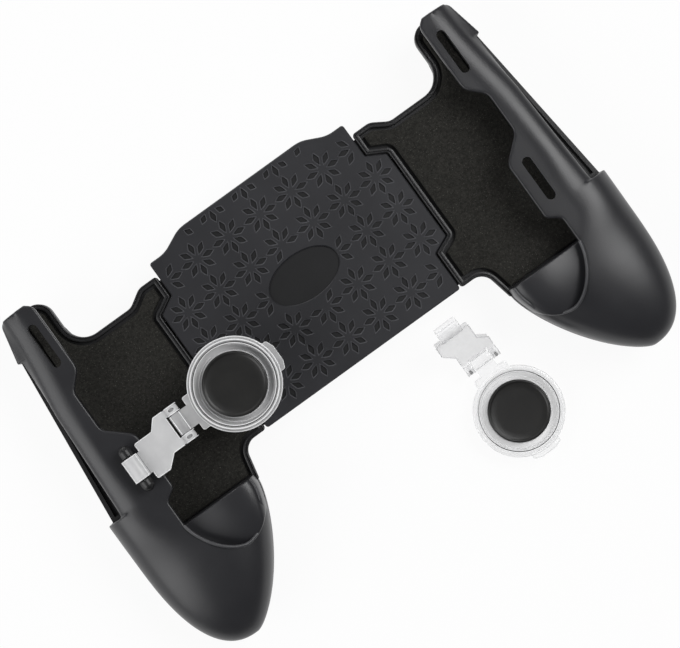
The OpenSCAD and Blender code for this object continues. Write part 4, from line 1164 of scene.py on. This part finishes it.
RING_LOOKS = (CLEAR, EDGE_HIGHLIGHT, SLIT, THIN, WEB)
piece(
    "left_clip_bar_finish", clip_bar(), "left_handle", BAR, ["left_clip_bar"],
    place=placed("left"), smooth=60,
)
ring, pad, seats, clip, barrel = stick_ring(), thumb_pad(), pin_seats(), clip_lines(), barrel_lines()
fold = (
    Matrix.Translation((HINGE_X, 0, HINGE_Z))
    @ Matrix.Rotation(math.radians(CLIP_FOLD), 4, "Y")
    @ Matrix.Translation((-HINGE_X, 0, -HINGE_Z))
)
for side in ("left", "right"):
    at = placed(side)
    middle = at @ Matrix.Translation((STICK_X, STICK_Y, 0))
    piece(
        f"{side}_stick_ring_finish", ring.copy(), f"{side}_ring", CLEAR, [f"{side}_stick_ring"],
        place=middle, smooth=30, more=RING_LOOKS[1:],
    )
    # The barrel's and the clip's lines are painted highlights
    piece(f"{side}_stick_barrel_highlight_lines", barrel.copy(), f"{side}_ring", EDGE_HIGHLIGHT, place=middle, smooth=50)
    piece(
        f"{side}_stick_thumb_pad_finish", pad.copy(), f"{side}_disc", PAD, [f"{side}_stick_thumb_pad"],
        place=middle, smooth=50,
    )
    over = at @ fold if side == "right" else at
    piece(f"{side}_stick_pin_seats", seats.copy(), f"{side}_clip", SEAT, place=over, smooth=50)
    piece(f"{side}_stick_clip_highlight_lines", clip.copy(), f"{side}_clip", EDGE_HIGHLIGHT, place=over, smooth=50)


# Spiral flexures, each in two halves between the ring and the disc, drawn unbent
def spiral(t):
    """Near the disc in its first half and near the ring in its second, to leave room for the travel."""
    return math.radians(96 + 330 * t), mix(9.5, 10.6, ease((t - 0.05) / 0.85))


def band(part):
    """One half of the flexure's band, from the disc to its middle or from there to the ring."""
    half, low, high = 0.15, -2.3, -1.0
    start, end = (0, 0.5) if part == "inner" else (0.5, 1)
    inner, outer = [], []
    for i in range(41):
        a, r = spiral(mix(start, end, i / 40))
        inner.append(((r - half) * math.cos(a), (r - half) * math.sin(a)))
        outer.append(((r + half) * math.cos(a), (r + half) * math.sin(a)))
    return bevelled(slab(outer + inner[::-1], low, high), 0.08)


for side in ("left", "right"):
    at = placed(side)
    middle = at @ Matrix.Translation((STICK_X, STICK_Y, 0))
    for part, a, b, t0, t1 in (("outer", "ring", "flexure", 1, 0.5), ("inner", "flexure", "disc", 0.5, 0)):
        obj = piece(
            f"{side}_stick_flexure_{part}", band(part), f"{side}_flexure", CLEAR,
            [f"{side}_stick_flexure"], place=middle, smooth=40, ride=False, more=(THIN,),
        )
        for face in obj.data.polygons:
            face.material_index = int(face.normal.z < 0.3)
        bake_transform(obj)


# Stage: pale floor, soft light from both sides, and the camera over the plate
FLOOR_REACH, FLOOR_DROP, FLOOR_WHITE = 8, 0.0003, 0.93
WORLD_COLOUR, WORLD_STRENGTH = (0.97, 0.98, 1.0, 1), 0.10
CAMERA_X, CAMERA_Y, CAMERA_HEIGHT, CAMERA_TURN = 0.2, -14.7, 0.5125, 35.8
SENSOR, VIEW_WIDTH = 36, 183.6 / 500


def floor_material():
    """Pale floor, mostly white to the camera and in reflections, which keeps some of the object's shadow."""
    m, tree, shader = material("floor")
    shader.inputs["Base Color"].default_value = (0.90, 0.90, 0.90, 1)
    shader.inputs["Roughness"].default_value = 0.9
    shader.inputs["Specular IOR Level"].default_value = 0.1
    white = add(tree, "ShaderNodeEmission", Strength=1.0)
    white.inputs["Color"].default_value = (1, 1, 1, 1)
    path = add(tree, "ShaderNodeLightPath")
    rays = path.outputs["Is Camera Ray"]
    for other in ("Is Glossy Ray", "Is Transmission Ray"):
        either = add(tree, "ShaderNodeMath", operation="MAXIMUM")
        tree.links.new(rays, either.inputs[0])
        tree.links.new(path.outputs[other], either.inputs[1])
        rays = either.outputs["Value"]
    share = add(tree, "ShaderNodeMath", operation="MULTIPLY")
    share.inputs[1].default_value = FLOOR_WHITE
    tree.links.new(rays, share.inputs[0])
    mixer = add(tree, "ShaderNodeMixShader")
    tree.links.new(share.outputs["Value"], mixer.inputs["Fac"])
    tree.links.new(shader.outputs["BSDF"], mixer.inputs[1])
    tree.links.new(white.outputs["Emission"], mixer.inputs[2])
    tree.links.new(mixer.outputs["Shader"], tree.nodes["Material Output"].inputs["Surface"])
    return m


def make_floor():
    mesh = bpy.data.meshes.new("floor")
    corners = [(x * FLOOR_REACH, y * FLOOR_REACH, 0) for x, y in ((-1, -1), (1, -1), (1, 1), (-1, 1))]
    mesh.from_pydata(corners, [], [(0, 1, 2, 3)])
    mesh.materials.append(floor_material())
    floor = bpy.data.objects.new("floor", mesh)
    floor.location.z = -FLOOR_DROP
    scene.collection.objects.link(floor)


def make_lights():
    world = bpy.data.worlds.new("studio")
    world.use_nodes = True
    back = world.node_tree.nodes["Background"]
    back.inputs["Color"].default_value = WORLD_COLOUR
    back.inputs["Strength"].default_value = WORLD_STRENGTH
    scene.world = world
    for name, x, y, z, width, height, power in (
        ("right_box", 0.56, 0.0, 0.74, 0.55, 0.5, 5.5),
        ("left_box", -0.76, 0.0, 0.53, 0.7, 0.8, 5.1),
        ("top_box", 0.0, 0.80, 0.70, 0.8, 0.2, 1.3),
        ("back_card", 0.0, 1.15, 0.14, 1.4, 0.24, 3.2),
    ):
        lamp = bpy.data.lights.new(name, "AREA")
        lamp.shape = "RECTANGLE"
        lamp.size = width
        lamp.size_y = height
        lamp.energy = power
        obj = bpy.data.objects.new(name, lamp)
        obj.location = (x, y, z)
        obj.rotation_mode = "QUATERNION"
        obj.rotation_quaternion = (-Vector(obj.location)).to_track_quat("-Z", "Y")
        scene.collection.objects.link(obj)


def make_camera():
    cam = bpy.data.cameras.new("camera")
    cam.sensor_width = SENSOR
    cam.lens = SENSOR / VIEW_WIDTH
    camera = bpy.data.objects.new("camera", cam)
    camera.location = (CAMERA_X * MM, CAMERA_Y * MM, CAMERA_HEIGHT)
    camera.rotation_euler = (0, 0, -math.radians(CAMERA_TURN))
    scene.collection.objects.link(camera)
    scene.camera = camera


make_floor()
make_lights()
make_camera()
scene.view_settings.view_transform = "Standard"
